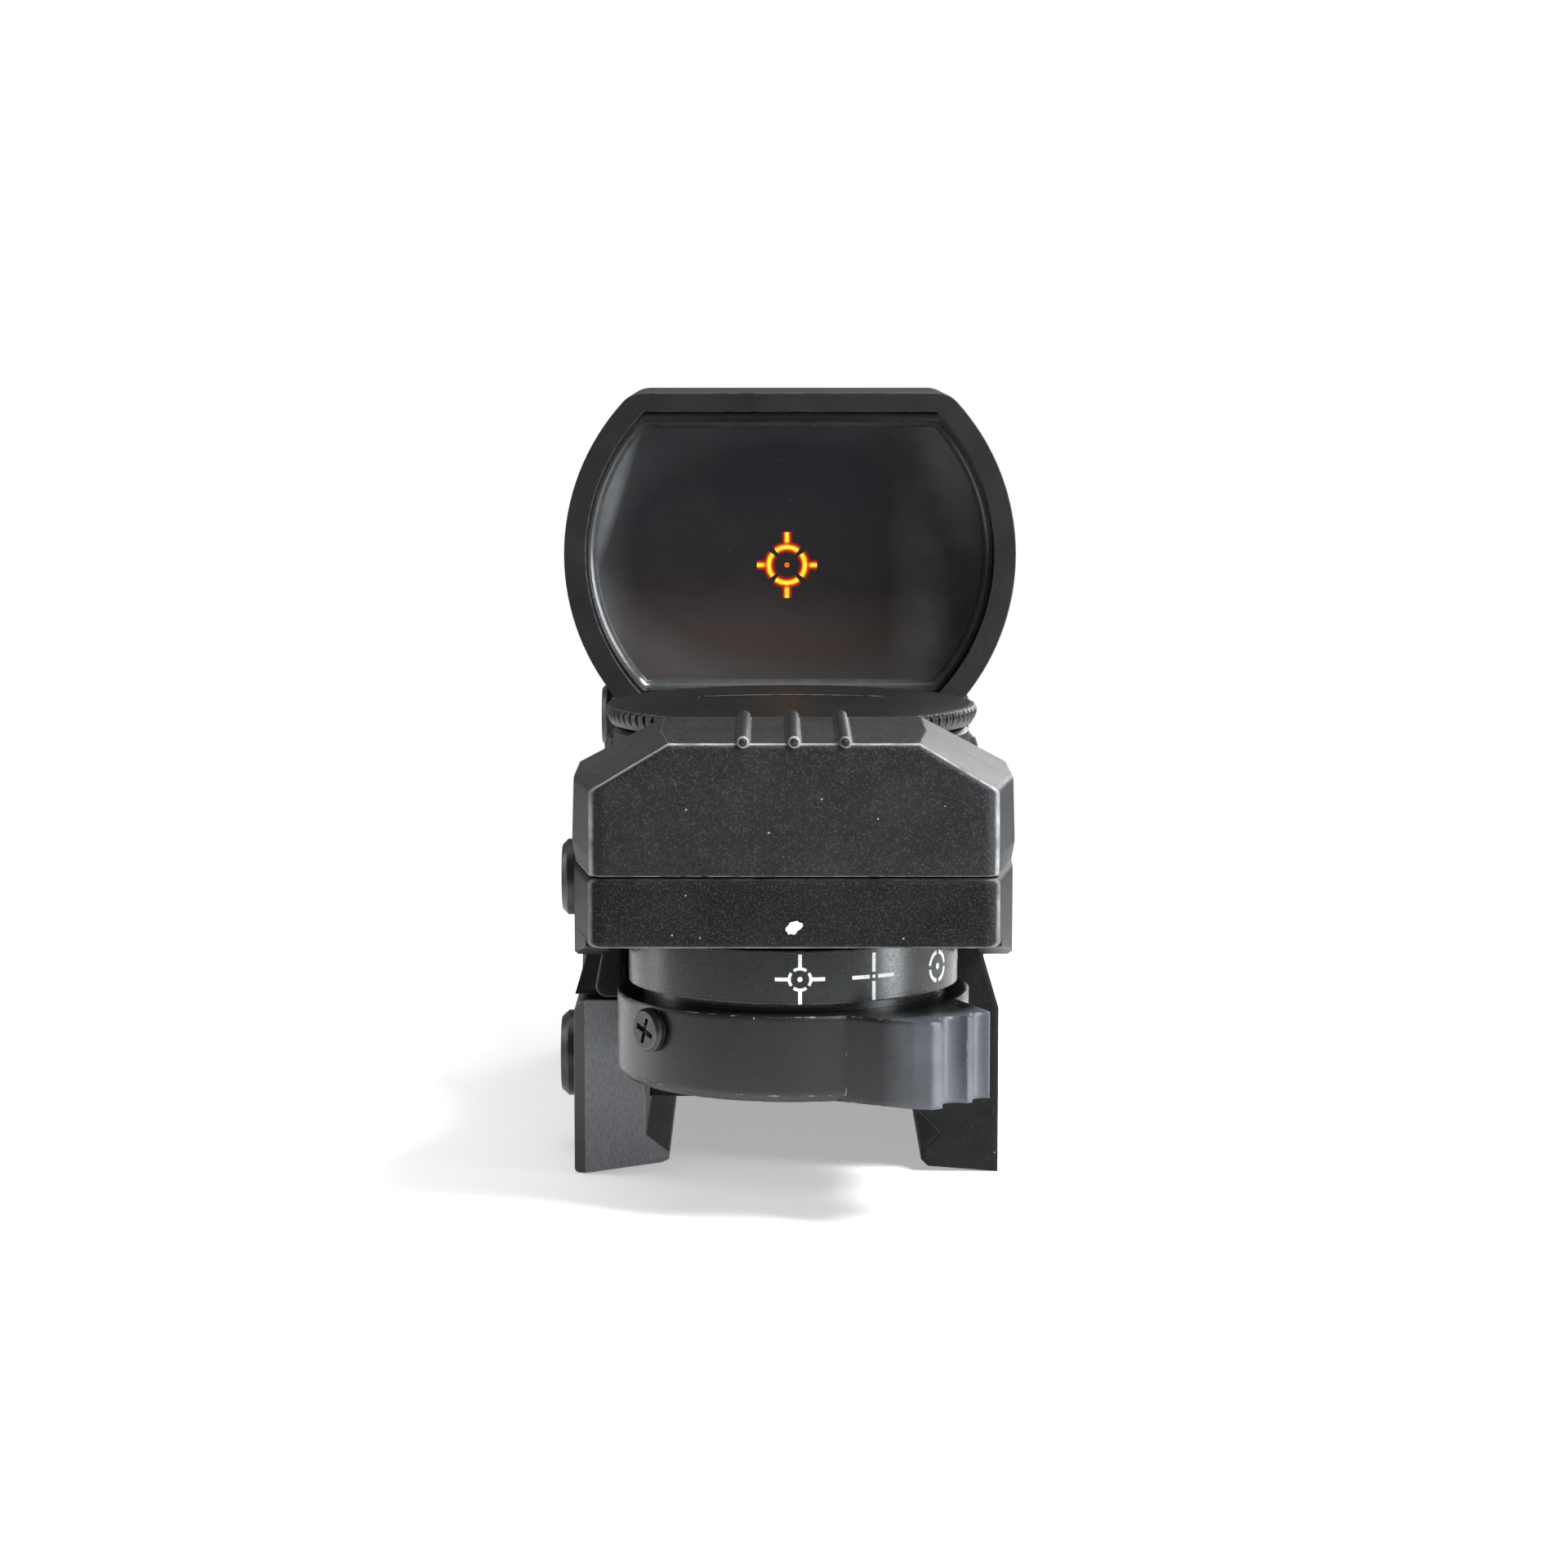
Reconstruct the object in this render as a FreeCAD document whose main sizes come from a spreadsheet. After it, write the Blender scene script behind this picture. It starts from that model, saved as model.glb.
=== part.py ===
"""Open reflex (red dot) sight with a rail clamp, as a parametric FreeCAD document. Millimetres.

Frame: +Z up, +Y forward to the target, +X to the user's right. The origin is on the sight's centre plane,
halfway along its length, at the height of the clamp jaws' lowest edge.
"""

import FreeCAD
import Part
import Sketcher
import math
import os
import re

V = FreeCAD.Vector
UP = V(0, 0, 1)
LEFT = V(-1, 0, 0)
RIGHT = V(1, 0, 0)
DOWN = V(0, 0, -1)

# ---------------------------------------------------------------- driving dimensions

DIMS = {
    # stations along the sight axis
    "rear_y": -39.6,
    "flare_y": -31.6,
    "drum_y": -27.1,
    "cap_front_y": -22.3,
    "main_rear_y": -20.2,
    "dial_y": 1.4,
    "hood_rear_y": 19.8,
    "base_front_y": 34.4,
    "clamp_mid_y": 6.4,
    "clamp_half_length": 27.4,
    # base section
    "jaw_outer_x": 14.7,
    "lip_x": 8.8,
    "lip_z": 1.0,
    "vee_x": 10.5,
    "vee_z": 2.9,
    "seat_z": 5.5,
    "ledge_z": 12.9,
    "waist_z": 15.6,
    "body_half_width": 13.6,
    "deck_z": 25.6,
    "flare_half_width": 14.95,
    "block_bottom_z": 19.2,
    "block_top_z": 23.95,
    "skirt_bottom_z": 16.8,
    "skirt_inner_x": 12.6,
    "corner_round": 1.2,
    "edge_round": 0.5,
    # clamp
    "plate_outer_x": -15.6,
    "clamp_screw_y": 17.0,
    "clamp_screw_z": 6.9,
    "clamp_thread_radius": 1.75,
    "clamp_head_radius": 3.15,
    "clamp_head_height": 1.3,
    # emitter cap and the rear block's mechanism
    "cap_top_z": 32.95,
    "cap_shoulder_z": 29.8,
    "cap_bulge_z": 25.4,
    "cap_top_half_width": 8.3,
    "cap_wall": 1.5,
    "cap_front_wall": 0.8,
    "cap_gap": 0.12,
    "rib_pitch": 3.38,
    "rib_radius": 0.42,
    "cap_screw_x": 11.2,
    "cap_screw_y": -36.8,
    "windage_y": -27.6,
    "windage_z": 22.4,
    "adjuster_head_radius": 2.62,
    "adjuster_head_height": 0.95,
    "adjuster_shaft_radius": 1.25,
    "shaft_radius": 2.5,
    "sleeve_radius": 3.4,
    "sleeve_bottom_z": 27.4,
    "sleeve_top_z": 29.9,
    # reticle drum and its lever
    "drum_radius": 11.4,
    "drum_neck_radius": 10.4,
    "drum_top_z": 18.9,
    "drum_band_z": 15.3,
    "lever_radius": 12.2,
    "lever_top_z": 14.6,
    "lever_bottom_z": 8.75,
    "lever_angle": -49.0,
    "tab_radius": 16.9,
    "tab_half_width": 3.35,
    "lever_screw_angle": -141.5,
    "lever_screw_z": 12.95,
    "detent_track_radius": 6.0,
    # brightness dial, battery and cap
    "dial_radius": 14.2,
    "dial_root_radius": 13.5,
    "dial_lobe_radius": 1.5,
    "lobe_count": 16,
    "dial_bottom_z": 25.9,
    "dial_top_z": 29.95,
    "dial_floor_z": 26.8,
    "thread_radius": 11.5,
    "cell_radius": 10.0,
    "cell_height": 3.2,
    "cell_bottom_z": 27.1,
    "lid_radius": 14.1,
    "lid_bottom_z": 30.25,
    "lid_rim_z": 31.7,
    "lid_top_z": 32.2,
    "lid_teeth": 92,
    "seal_radius": 12.3,
    "pocket_radius": 11.0,
    "pocket_z": 23.4,
    "hub_radius": 3.0,
    "hub_bottom_z": 17.9,
    # lens hood and lens
    "hood_radius": 18.15,
    "hood_axis_z": 41.7,
    "hood_flat": 13.0,
    "hood_wall": 0.95,
    "hood_lip": 1.0,
    "hood_lip_radius": 16.4,
    "hood_depth": 13.6,
    "brow_reach": 7.3,
    "foot_half_width": 14.4,
    "foot_top_z": 30.2,
    "bore_top": 12.0,
    "bore_bottom": 12.1,
    "lens_tilt": 7.0,
    "lens_y": 24.7,
    "lens_radius": 16.5,
    "lens_half_height": 11.2,
    "lens_curve": 120.0,
    "lens_thickness": 2.6,
    "cell_ring_radius": 17.05,
    "cell_ring_half": 11.7,
    "cell_ring_depth": 4.0,
    "aperture_radius": 16.2,
    "aperture_half": 11.0,
    "elevation_z": 28.2,
    "elevation_y": 26.2,
    "eccentric": 0.12,
    "fit": 0.05,
}

doc = FreeCAD.newDocument("reflex_sight")
sheet = doc.addObject("Spreadsheet::Sheet", "Dims")
for row, (alias, number) in enumerate(DIMS.items(), start=1):
    sheet.set(f"A{row}", alias)
    sheet.set(f"B{row}", str(number))
    sheet.setAlias(f"B{row}", alias)
doc.recompute()

SUB_PARTS = []


# ---------------------------------------------------------------- helpers


def ex(text):
    """An expression in which every word that is a sheet alias points at its cell."""
    return re.sub(r"[a-z_]+[a-z_0-9]*", lambda m: f"Dims.{m[0]}" if m[0] in DIMS else m[0], str(text))


def num(text):
    """What an expression comes to, as a number."""
    found = sheet.evalExpression(ex(text))
    return float(getattr(found, "Value", found))


def bind(thing, **sizes):
    """Binds properties to expressions; at_x, at_y and at_z are the placement's."""
    for name, text in sizes.items():
        path = f"Placement.Base.{name[3:]}" if name.startswith("at_") else name
        thing.setExpression(path, ex(text))
    return thing


def turn(thing, direction, about=None):
    """Turns a thing that was made along +Z to point along a direction."""
    rotation = FreeCAD.Rotation(UP, direction)
    if about is not None:
        rotation = rotation.multiply(FreeCAD.Rotation(UP, about))
    thing.Placement = FreeCAD.Placement(thing.Placement.Base, rotation)
    return thing


def box(name, x, y, z):
    made = doc.addObject("Part::Box", name)
    return bind(
        made,
        Length=f"({x[1]}) - ({x[0]})",
        Width=f"({y[1]}) - ({y[0]})",
        Height=f"({z[1]}) - ({z[0]})",
        at_x=x[0],
        at_y=y[0],
        at_z=z[0],
    )


def cylinder(name, radius, length, at, along=UP):
    made = turn(doc.addObject("Part::Cylinder", name), along)
    return bind(made, Radius=radius, Height=length, at_x=at[0], at_y=at[1], at_z=at[2])


def ball(name, radius, at):
    made = doc.addObject("Part::Sphere", name)
    return bind(made, Radius=radius, at_x=at[0], at_y=at[1], at_z=at[2])


def fuse(name, *parts):
    made = doc.addObject("Part::MultiFuse", name)
    made.Shapes = list(parts)
    return made


def cut(name, whole, *tools):
    made = doc.addObject("Part::Cut", name)
    made.Base = whole
    made.Tool = tools[0] if len(tools) == 1 else fuse(name + "_tools", *tools)
    return made


def common(name, *parts):
    made = doc.addObject("Part::MultiCommon", name)
    made.Shapes = list(parts)
    return made


def group(name, *parts):
    made = doc.addObject("Part::Compound", name)
    made.Links = list(parts)
    return made


def sub_part(thing, label):
    thing.Label = label
    SUB_PARTS.append(thing)
    return thing


def body(name):
    return doc.addObject("PartDesign::Body", name)


def new_sketch(owner, name, plane, offset):
    sketch = owner.newObject("Sketcher::SketchObject", name)
    planes = [f for f in owner.Origin.OriginFeatures if f.Role == plane + "_Plane"]
    sketch.AttachmentSupport = [(planes[0], "")]
    sketch.MapMode = "FlatFace"
    sketch.setExpression("AttachmentOffset.Base.z", ex(offset))
    return sketch


def hold(sketch, kind, where, text):
    """Adds a dimension to a sketch and binds it."""
    index = sketch.addConstraint(Sketcher.Constraint(kind, *where, num(text)))
    sketch.setExpression(f"Constraints[{index}]", ex(text))


def outline(owner, name, plane, offset, points):
    """A closed outline. Each point is (x, y), or (x, y, radius) where an arc leads to the next point.

    A positive radius turns left and a negative one right.
    A fourth item, "long", asks for the arc past a half turn.
    """
    sketch = new_sketch(owner, name, plane, offset)
    corners = [V(num(p[0]), num(p[1]), 0) for p in points]
    ends = []
    for i, point in enumerate(points):
        start, end = corners[i], corners[(i + 1) % len(points)]
        if len(point) == 2:
            sketch.addGeometry(Part.LineSegment(start, end))
            ends.append((1, 2))
            continue
        radius = num(point[2])
        chord = end - start
        side = V(-chord.y, chord.x, 0).normalize() * (1 if radius > 0 else -1)
        reach = math.sqrt(max(radius**2 - (chord.Length / 2) ** 2, 0)) * (-1 if len(point) == 4 else 1)
        centre = (start + end) / 2 + side * reach
        first, last = (start, end) if radius > 0 else (end, start)
        angles = [math.atan2(p.y - centre.y, p.x - centre.x) for p in (first, last)]
        sketch.addGeometry(Part.ArcOfCircle(Part.Circle(centre, UP, abs(radius)), *angles))
        ends.append((1, 2) if radius > 0 else (2, 1))
    for i, point in enumerate(points):
        after = (i + 1) % len(points)
        sketch.addConstraint(Sketcher.Constraint("Coincident", i, ends[i][1], after, ends[after][0]))
        hold(sketch, "DistanceX", (-1, 1, i, ends[i][0]), point[0])
        hold(sketch, "DistanceY", (-1, 1, i, ends[i][0]), point[1])
        if len(point) > 2:
            hold(sketch, "Radius", (i,), str(point[2]).lstrip("-"))
    return sketch


def rectangle(owner, name, plane, offset, x, y):
    corners = [(x[0], y[0]), (x[1], y[0]), (x[1], y[1]), (x[0], y[1])]
    return outline(owner, name, plane, offset, corners)


def circles(owner, name, plane, offset, *rounds):
    """A sketch of circles, each (x, y, radius)."""
    sketch = new_sketch(owner, name, plane, offset)
    for i, (x, y, radius) in enumerate(rounds):
        sketch.addGeometry(Part.Circle(V(num(x), num(y), 0), UP, num(radius)))
        hold(sketch, "DistanceX", (-1, 1, i, 3), x)
        hold(sketch, "DistanceY", (-1, 1, i, 3), y)
        hold(sketch, "Radius", (i,), radius)
    return sketch


def pad(owner, name, sketch, length, back=False):
    made = owner.newObject("PartDesign::Pad", name)
    made.Profile = sketch
    made.Reversed = back
    return bind(made, Length=length)


def pocket(owner, name, sketch, length, back=False):
    """Cuts a sketch against its normal, or along it with back, and stops if nothing was cut."""
    doc.recompute()
    before = owner.Shape.Volume
    made = owner.newObject("PartDesign::Pocket", name)
    made.Profile = sketch
    made.Reversed = back
    bind(made, Length=length)
    doc.recompute()
    if owner.Shape.Volume >= before:
        raise ValueError(f"{name} cuts nothing")
    return made


def revolve(owner, name, points, axis_x="0"):
    """Turns an outline of (radius, height) points about an upright axis that crosses the body's X axis."""
    made = owner.newObject("PartDesign::Revolution", name)
    sketch = outline(owner, name + "_section", "XZ", "0", points)
    sketch.setExpression("AttachmentOffset.Base.x", ex(axis_x))
    made.Profile = sketch
    made.ReferenceAxis = (sketch, ["V_Axis"])
    made.Angle = 360
    owner.Tip = made
    return made


def fillet(owner, name, radius, wanted, kind="PartDesign::Fillet"):
    """Rounds, or chamfers, the edges of a body's tip that wanted(edge) picks."""
    doc.recompute()
    tip = owner.Tip
    names = [f"Edge{i}" for i, edge in enumerate(tip.Shape.Edges, start=1) if wanted(edge)]
    if not names:
        raise ValueError(f"{name} finds no edge")
    made = owner.newObject(kind, name)
    made.Base = (tip, names)
    return bind(made, **({"Radius": radius} if kind.endswith("Fillet") else {"Size": radius}))


def chamfer(owner, name, size, wanted):
    return fillet(owner, name, size, wanted, "PartDesign::Chamfer")


def z_axis(owner):
    return ([f for f in owner.Origin.OriginFeatures if f.Role == "Z_Axis"][0], [""])


def straight_along(edge, axis):
    """Whether an edge is a straight line along an axis."""
    if len(edge.Vertexes) != 2 or not isinstance(edge.Curve, Part.Line):
        return False
    return abs(edge.tangentAt(edge.FirstParameter).dot(axis)) > 0.999


def near(value, text):
    return abs(value - num(text)) < 1e-3


def screw(name, head_radius, head_height, thread_radius, length, drive):
    """A screw along +Z: the head's underside at 0, the thread below. drive is slot, cross or hex."""
    made = body(name)
    revolve(
        made,
        name + "_turned",
        [
            ("0", f"-({length})"),
            (thread_radius, f"-({length})"),
            (thread_radius, "0"),
            (head_radius, "0"),
            (head_radius, f"({head_height}) * 0.6"),
            (f"({head_radius}) * 0.85", head_height),
            ("0", head_height),
        ],
    )
    half = f"({head_radius}) * 0.62"
    thin = f"({head_radius}) * 0.13"
    depth = f"({head_height}) * 0.55"
    if drive == "hex":
        corner = f"({head_radius}) * 0.5"
        rise = f"({corner}) * 0.866"
        points = [
            (corner, "0"), (f"({corner}) / 2", rise), (f"-({corner}) / 2", rise), (f"-({corner})", "0")
        ]
        points += [(f"-({corner}) / 2", f"-({rise})"), (f"({corner}) / 2", f"-({rise})")]
        pocket(made, name + "_socket", outline(made, name + "_hexagon", "XY", head_height, points), depth)
        return made
    if drive == "slot":
        half = f"({head_radius}) * 1.1"
    first = rectangle(made, name + "_slot", "XY", head_height, (f"-({half})", half), (f"-({thin})", thin))
    pocket(made, name + "_slot_cut", first, depth)
    if drive == "cross":
        second = rectangle(
            made, name + "_cross", "XY", head_height, (f"-({thin})", thin), (f"-({half})", half)
        )
        pocket(made, name + "_cross_cut", second, depth)
    return made


def place(thing, at, direction=None, about=None):
    if direction is not None:
        turn(thing, direction, about)
    return bind(thing, at_x=at[0], at_y=at[1], at_z=at[2])


# ---------------------------------------------------------------- base and rail clamp


def make_base():
    """The casting: rail saddle with its fixed jaw, deck under the dial, and shelf for the emitter."""
    base = body("base")
    section = [
        ("jaw_outer_x", "0"),
        ("jaw_outer_x", "ledge_z - 1"),
        ("body_half_width", "waist_z"),
        ("body_half_width", "deck_z - 1"),
        ("body_half_width - 1", "deck_z"),
        ("1 - body_half_width", "deck_z"),
        ("-body_half_width", "deck_z - 1"),
        ("-body_half_width - 1.1", "waist_z"),
        ("-jaw_outer_x - 0.8", "ledge_z"),
        ("0.3 - vee_x", "ledge_z"),
        ("0.3 - vee_x", "seat_z"),
        ("vee_x + vee_z - seat_z", "seat_z"),
        ("vee_x", "vee_z"),
        ("lip_x + 0.4", "lip_z + 0.6"),
        ("lip_x + 0.4", "lip_z - 0.1"),
        ("lip_x + 0.9", "lip_z - 0.6"),
    ]
    saddle = outline(base, "saddle_section", "XZ", "-main_rear_y", section)
    pad(base, "saddle", saddle, "base_front_y - main_rear_y", back=True)
    boss = [
        ("-11.9", "skirt_bottom_z + 0.6"),
        ("-13.3", "skirt_bottom_z + 0.6"),
        ("-14", "ledge_z + 0.7", "0.8"),
        ("-13.2", "ledge_z - 0.1"),
        ("-11.9", "ledge_z - 0.1"),
    ]
    pad(base, "boss", outline(base, "boss_plan", "XZ", "-main_rear_y", boss), "0.9")
    on_boss = lambda e: near(e.CenterOfMass.y, "main_rear_y - 0.9")
    fillet(base, "boss_rounds", "0.3", on_boss)
    shelf = [
        ("-body_half_width", "rear_y"),
        ("body_half_width", "rear_y"),
        ("flare_half_width", "flare_y"),
        ("flare_half_width", "cap_front_y - 1.5"),
        ("body_half_width", "main_rear_y + 1"),
        ("-body_half_width", "main_rear_y + 1"),
        ("-flare_half_width", "cap_front_y - 1.5"),
        ("-flare_half_width", "flare_y"),
    ]
    pad(
        base,
        "shelf",
        outline(base, "shelf_plan", "XY", "block_bottom_z", shelf),
        "block_top_z - block_bottom_z",
    )
    at_rear = lambda e: near(e.CenterOfMass.y, "rear_y")
    fillet(base, "corner_rounds", "corner_round", lambda e: at_rear(e) and straight_along(e, UP))
    fillet(base, "rear_edge_rounds", "edge_round", lambda e: at_rear(e) and straight_along(e, RIGHT))
    rise = [
        ("-flare_half_width + 0.4", "cap_front_y"),
        ("flare_half_width - 0.4", "cap_front_y"),
        ("body_half_width", "main_rear_y + 1"),
        ("-body_half_width", "main_rear_y + 1"),
    ]
    pad(
        base,
        "rise",
        outline(base, "rise_plan", "XY", "block_top_z - 0.5", rise),
        "deck_z - block_top_z + 0.5",
    )
    for side, sign in (("right", ""), ("left", "-")):
        skirt = [
            (f"{sign}skirt_inner_x", "rear_y + 1.5"),
            (f"{sign}(body_half_width + 0.28)", "rear_y + 1.5"),
            (f"{sign}flare_half_width", "flare_y"),
            (f"{sign}flare_half_width", "cap_front_y - 1.5"),
            (f"{sign}body_half_width", "main_rear_y + 1"),
            (f"{sign}skirt_inner_x", "main_rear_y + 1"),
        ]
        plan = outline(base, f"{side}_skirt_plan", "XY", "skirt_bottom_z", skirt)
        pad(base, f"{side}_skirt", plan, "block_bottom_z - skirt_bottom_z + 0.5")
    rise_side = [
        ("rear_y - 1", "block_bottom_z"),
        ("rear_y - 1", "skirt_bottom_z - 1"),
        ("flare_y + 5", "skirt_bottom_z - 1"),
        ("flare_y + 5", "skirt_bottom_z"),
        ("rear_y + 1.3", "block_bottom_z"),
    ]
    pocket(base, "skirt_slope", outline(base, "skirt_slope_side", "YZ", "20", rise_side), "40")
    jaw_end = rectangle(
        base,
        "jaw_end",
        "XY",
        "seat_z",
        ("vee_x - 4", "jaw_outer_x + 1"),
        ("clamp_mid_y + clamp_half_length", "base_front_y + 1"),
    )
    pocket(base, "jaw_end_cut", jaw_end, "seat_z + 1")
    recess = circles(base, "drum_recess_plan", "XY", "block_bottom_z", ("0", "drum_y", "lever_radius + 1"))
    pocket(base, "drum_recess", recess, "block_bottom_z - lever_bottom_z + 0.5")
    pocket(
        base,
        "dial_pocket",
        circles(base, "dial_pocket_plan", "XY", "deck_z", ("0", "dial_y", "pocket_radius")),
        "deck_z - pocket_z",
    )
    pocket(
        base,
        "hub_bore",
        circles(base, "hub_bore_plan", "XY", "pocket_z", ("0", "dial_y", "hub_radius + fit")),
        "5.5",
    )
    well = circles(base, "dial_well_plan", "XY", "seat_z", ("0", "dial_y", "hub_radius + 1.6"))
    pocket(base, "dial_well", well, "12.5", back=True)
    shaft = circles(base, "shaft_bore_plan", "XY", "block_bottom_z", ("0", "drum_y", "shaft_radius + fit"))
    pocket(base, "shaft_bore", shaft, "block_top_z - block_bottom_z", back=True)
    threads = circles(
        base,
        "cap_screw_plan",
        "XY",
        "block_bottom_z",
        ("cap_screw_x", "cap_screw_y", "1.05"),
        ("-cap_screw_x", "cap_screw_y", "1.05"),
    )
    pocket(base, "shelf_bores", threads, "block_top_z - block_bottom_z", back=True)
    ball_bore = circles(
        base, "drum_detent_plan", "XY", "block_bottom_z", ("detent_track_radius", "drum_y", "1.05")
    )
    pocket(base, "drum_detent_bore", ball_bore, "4", back=True)
    heads = circles(
        base,
        "cap_head_plan",
        "XY",
        "block_bottom_z",
        ("cap_screw_x", "cap_screw_y", "1.95"),
        ("-cap_screw_x", "cap_screw_y", "1.95"),
    )
    pocket(base, "cap_head_wells", heads, "1.3", back=True)
    hood_bolts = circles(
        base, "hood_bolt_plan", "XY", "seat_z", ("7.2", "base_front_y - 3.6", "1.6"), (
            "-7.2", "base_front_y - 3.6", "1.6"
        )
    )
    pocket(base, "hood_bolt_bores", hood_bolts, "deck_z - seat_z", back=True)
    hood_heads = circles(
        base, "hood_head_plan", "XY", "seat_z", ("7.2", "base_front_y - 3.6", "2.95"), (
            "-7.2", "base_front_y - 3.6", "2.95"
        )
    )
    pocket(base, "hood_head_wells", hood_heads, "2.6", back=True)
    detent = circles(base, "dial_detent_plan", "XY", "deck_z", ("0", "dial_y + 12.2", "0.85"))
    pocket(base, "dial_detent_bore", detent, "3.4")
    cavity = rectangle(
        base,
        "cavity_plan",
        "XY",
        "seat_z",
        ("-7.5", "7.5"),
        ("dial_y + 6.5", "clamp_mid_y + clamp_screw_y - 3"),
    )
    pocket(base, "cavity", cavity, "10", back=True)
    bores = circles(
        base,
        "clamp_bore_plan",
        "YZ",
        "-vee_x - 5",
        ("clamp_mid_y + clamp_screw_y", "clamp_screw_z", "clamp_thread_radius + fit"),
        ("clamp_mid_y - clamp_screw_y", "clamp_screw_z", "clamp_thread_radius + fit"),
    )
    pocket(base, "clamp_bores", bores, "20.5", back=True)
    scallop = [
        ("main_rear_y + 8", "waist_z + 1.2"),
        ("base_front_y - 9", "waist_z + 1.2"),
        ("base_front_y - 12", "deck_z - 2.6"),
        ("main_rear_y + 11", "deck_z - 2.6"),
    ]
    for side, at, back in (
        ("right", "body_half_width - 0.7", True), ("left", "0.7 - body_half_width", False)
    ):
        pocket(
            base,
            f"{side}_scallop",
            outline(base, f"{side}_scallop_side", "YZ", at, scallop),
            "4",
            back=back,
        )
    windage = circles(
        base, "windage_bore_plan", "YZ", "-flare_half_width - 1", (
            "windage_y", "windage_z", "adjuster_shaft_radius + fit"
        )
    )
    pocket(base, "windage_bore", windage, "7", back=True)
    slot = rectangle(
        base, "sled_slot_plan", "XY", "block_top_z", ("-10", "-6"), ("windage_y - 3.1", "windage_y + 3.1")
    )
    pocket(base, "sled_slot", slot, "block_top_z - windage_z + 2.1")
    return sub_part(base, "base_body")


def make_clamp_plate():
    """The loose jaw: a plate along the saddle's left side with a lip under the rail."""
    plate = body("plate")
    section = [
        ("plate_outer_x", "0.3", "0.3"),
        ("plate_outer_x + 0.3", "0"),
        ("-lip_x - 0.5", "lip_z - 0.15"),
        ("-lip_x", "lip_z + 0.1"),
        ("-lip_x", "lip_z + 0.6"),
        ("-vee_x", "vee_z"),
        ("-vee_x", "ledge_z - 0.3"),
        ("plate_outer_x + 1.1", "ledge_z - 0.3", "1.1"),
        ("plate_outer_x", "ledge_z - 1.4"),
    ]
    pad(
        plate,
        "plate_length",
        outline(plate, "plate_section", "XZ", "clamp_half_length - clamp_mid_y", section),
        "2 * clamp_half_length",
        back=True,
    )
    bores = circles(
        plate,
        "plate_bore_plan",
        "YZ",
        "plate_outer_x - 1",
        ("clamp_mid_y + clamp_screw_y", "clamp_screw_z", "clamp_thread_radius + fit"),
        ("clamp_mid_y - clamp_screw_y", "clamp_screw_z", "clamp_thread_radius + fit"),
    )
    pocket(plate, "plate_bores", bores, "8", back=True)
    for side, out in (("rear", "-"), ("front", "+")):
        corner = [
            ("plate_outer_x - 0.5", f"clamp_mid_y {out} (clamp_half_length - 1.3)"),
            ("plate_outer_x - 0.5", f"clamp_mid_y {out} (clamp_half_length + 0.5)"),
            ("plate_outer_x + 1.3", f"clamp_mid_y {out} (clamp_half_length + 0.5)"),
        ]
        plan = outline(plate, f"plate_{side}_corner", "XY", "ledge_z", corner)
        pocket(plate, f"plate_{side}_chamfer", plan, "ledge_z + 1")
    relief = circles(plate, "lever_relief_plan", "XY", "ledge_z", ("0", "drum_y", "lever_radius + 1"))
    pocket(plate, "lever_relief", relief, "ledge_z - lever_bottom_z + 0.4")
    return sub_part(plate, "clamp_plate")


def make_clamp_screws():
    for name, sign in (("clamp_screw_front", "+"), ("clamp_screw_rear", "-")):
        made = screw(name, "clamp_head_radius", "clamp_head_height", "clamp_thread_radius", "18", "hex")
        place(made, ("plate_outer_x - 0.02", f"clamp_mid_y {sign} clamp_screw_y", "clamp_screw_z"), LEFT)
        sub_part(made, name)


# ---------------------------------------------------------------- emitter housing


def cap_section(owner, name, y, half, bulge, top_half):
    """The cap's section across: a flat top, sloping shoulders, and sides that bulge near the foot."""
    points = [
        (f"-({half} - {bulge})", "block_top_z + cap_gap"),
        (f"{half} - {bulge}", "block_top_z + cap_gap"),
        (f"{half} + {bulge}", "cap_bulge_z"),
        (half, "cap_shoulder_z"),
        (top_half, "cap_top_z"),
        (f"-({top_half})", "cap_top_z"),
        (f"-({half})", "cap_shoulder_z"),
        (f"-({half} + {bulge})", "cap_bulge_z"),
    ]
    return outline(owner, name, "XZ", f"-({y})", points)


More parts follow.
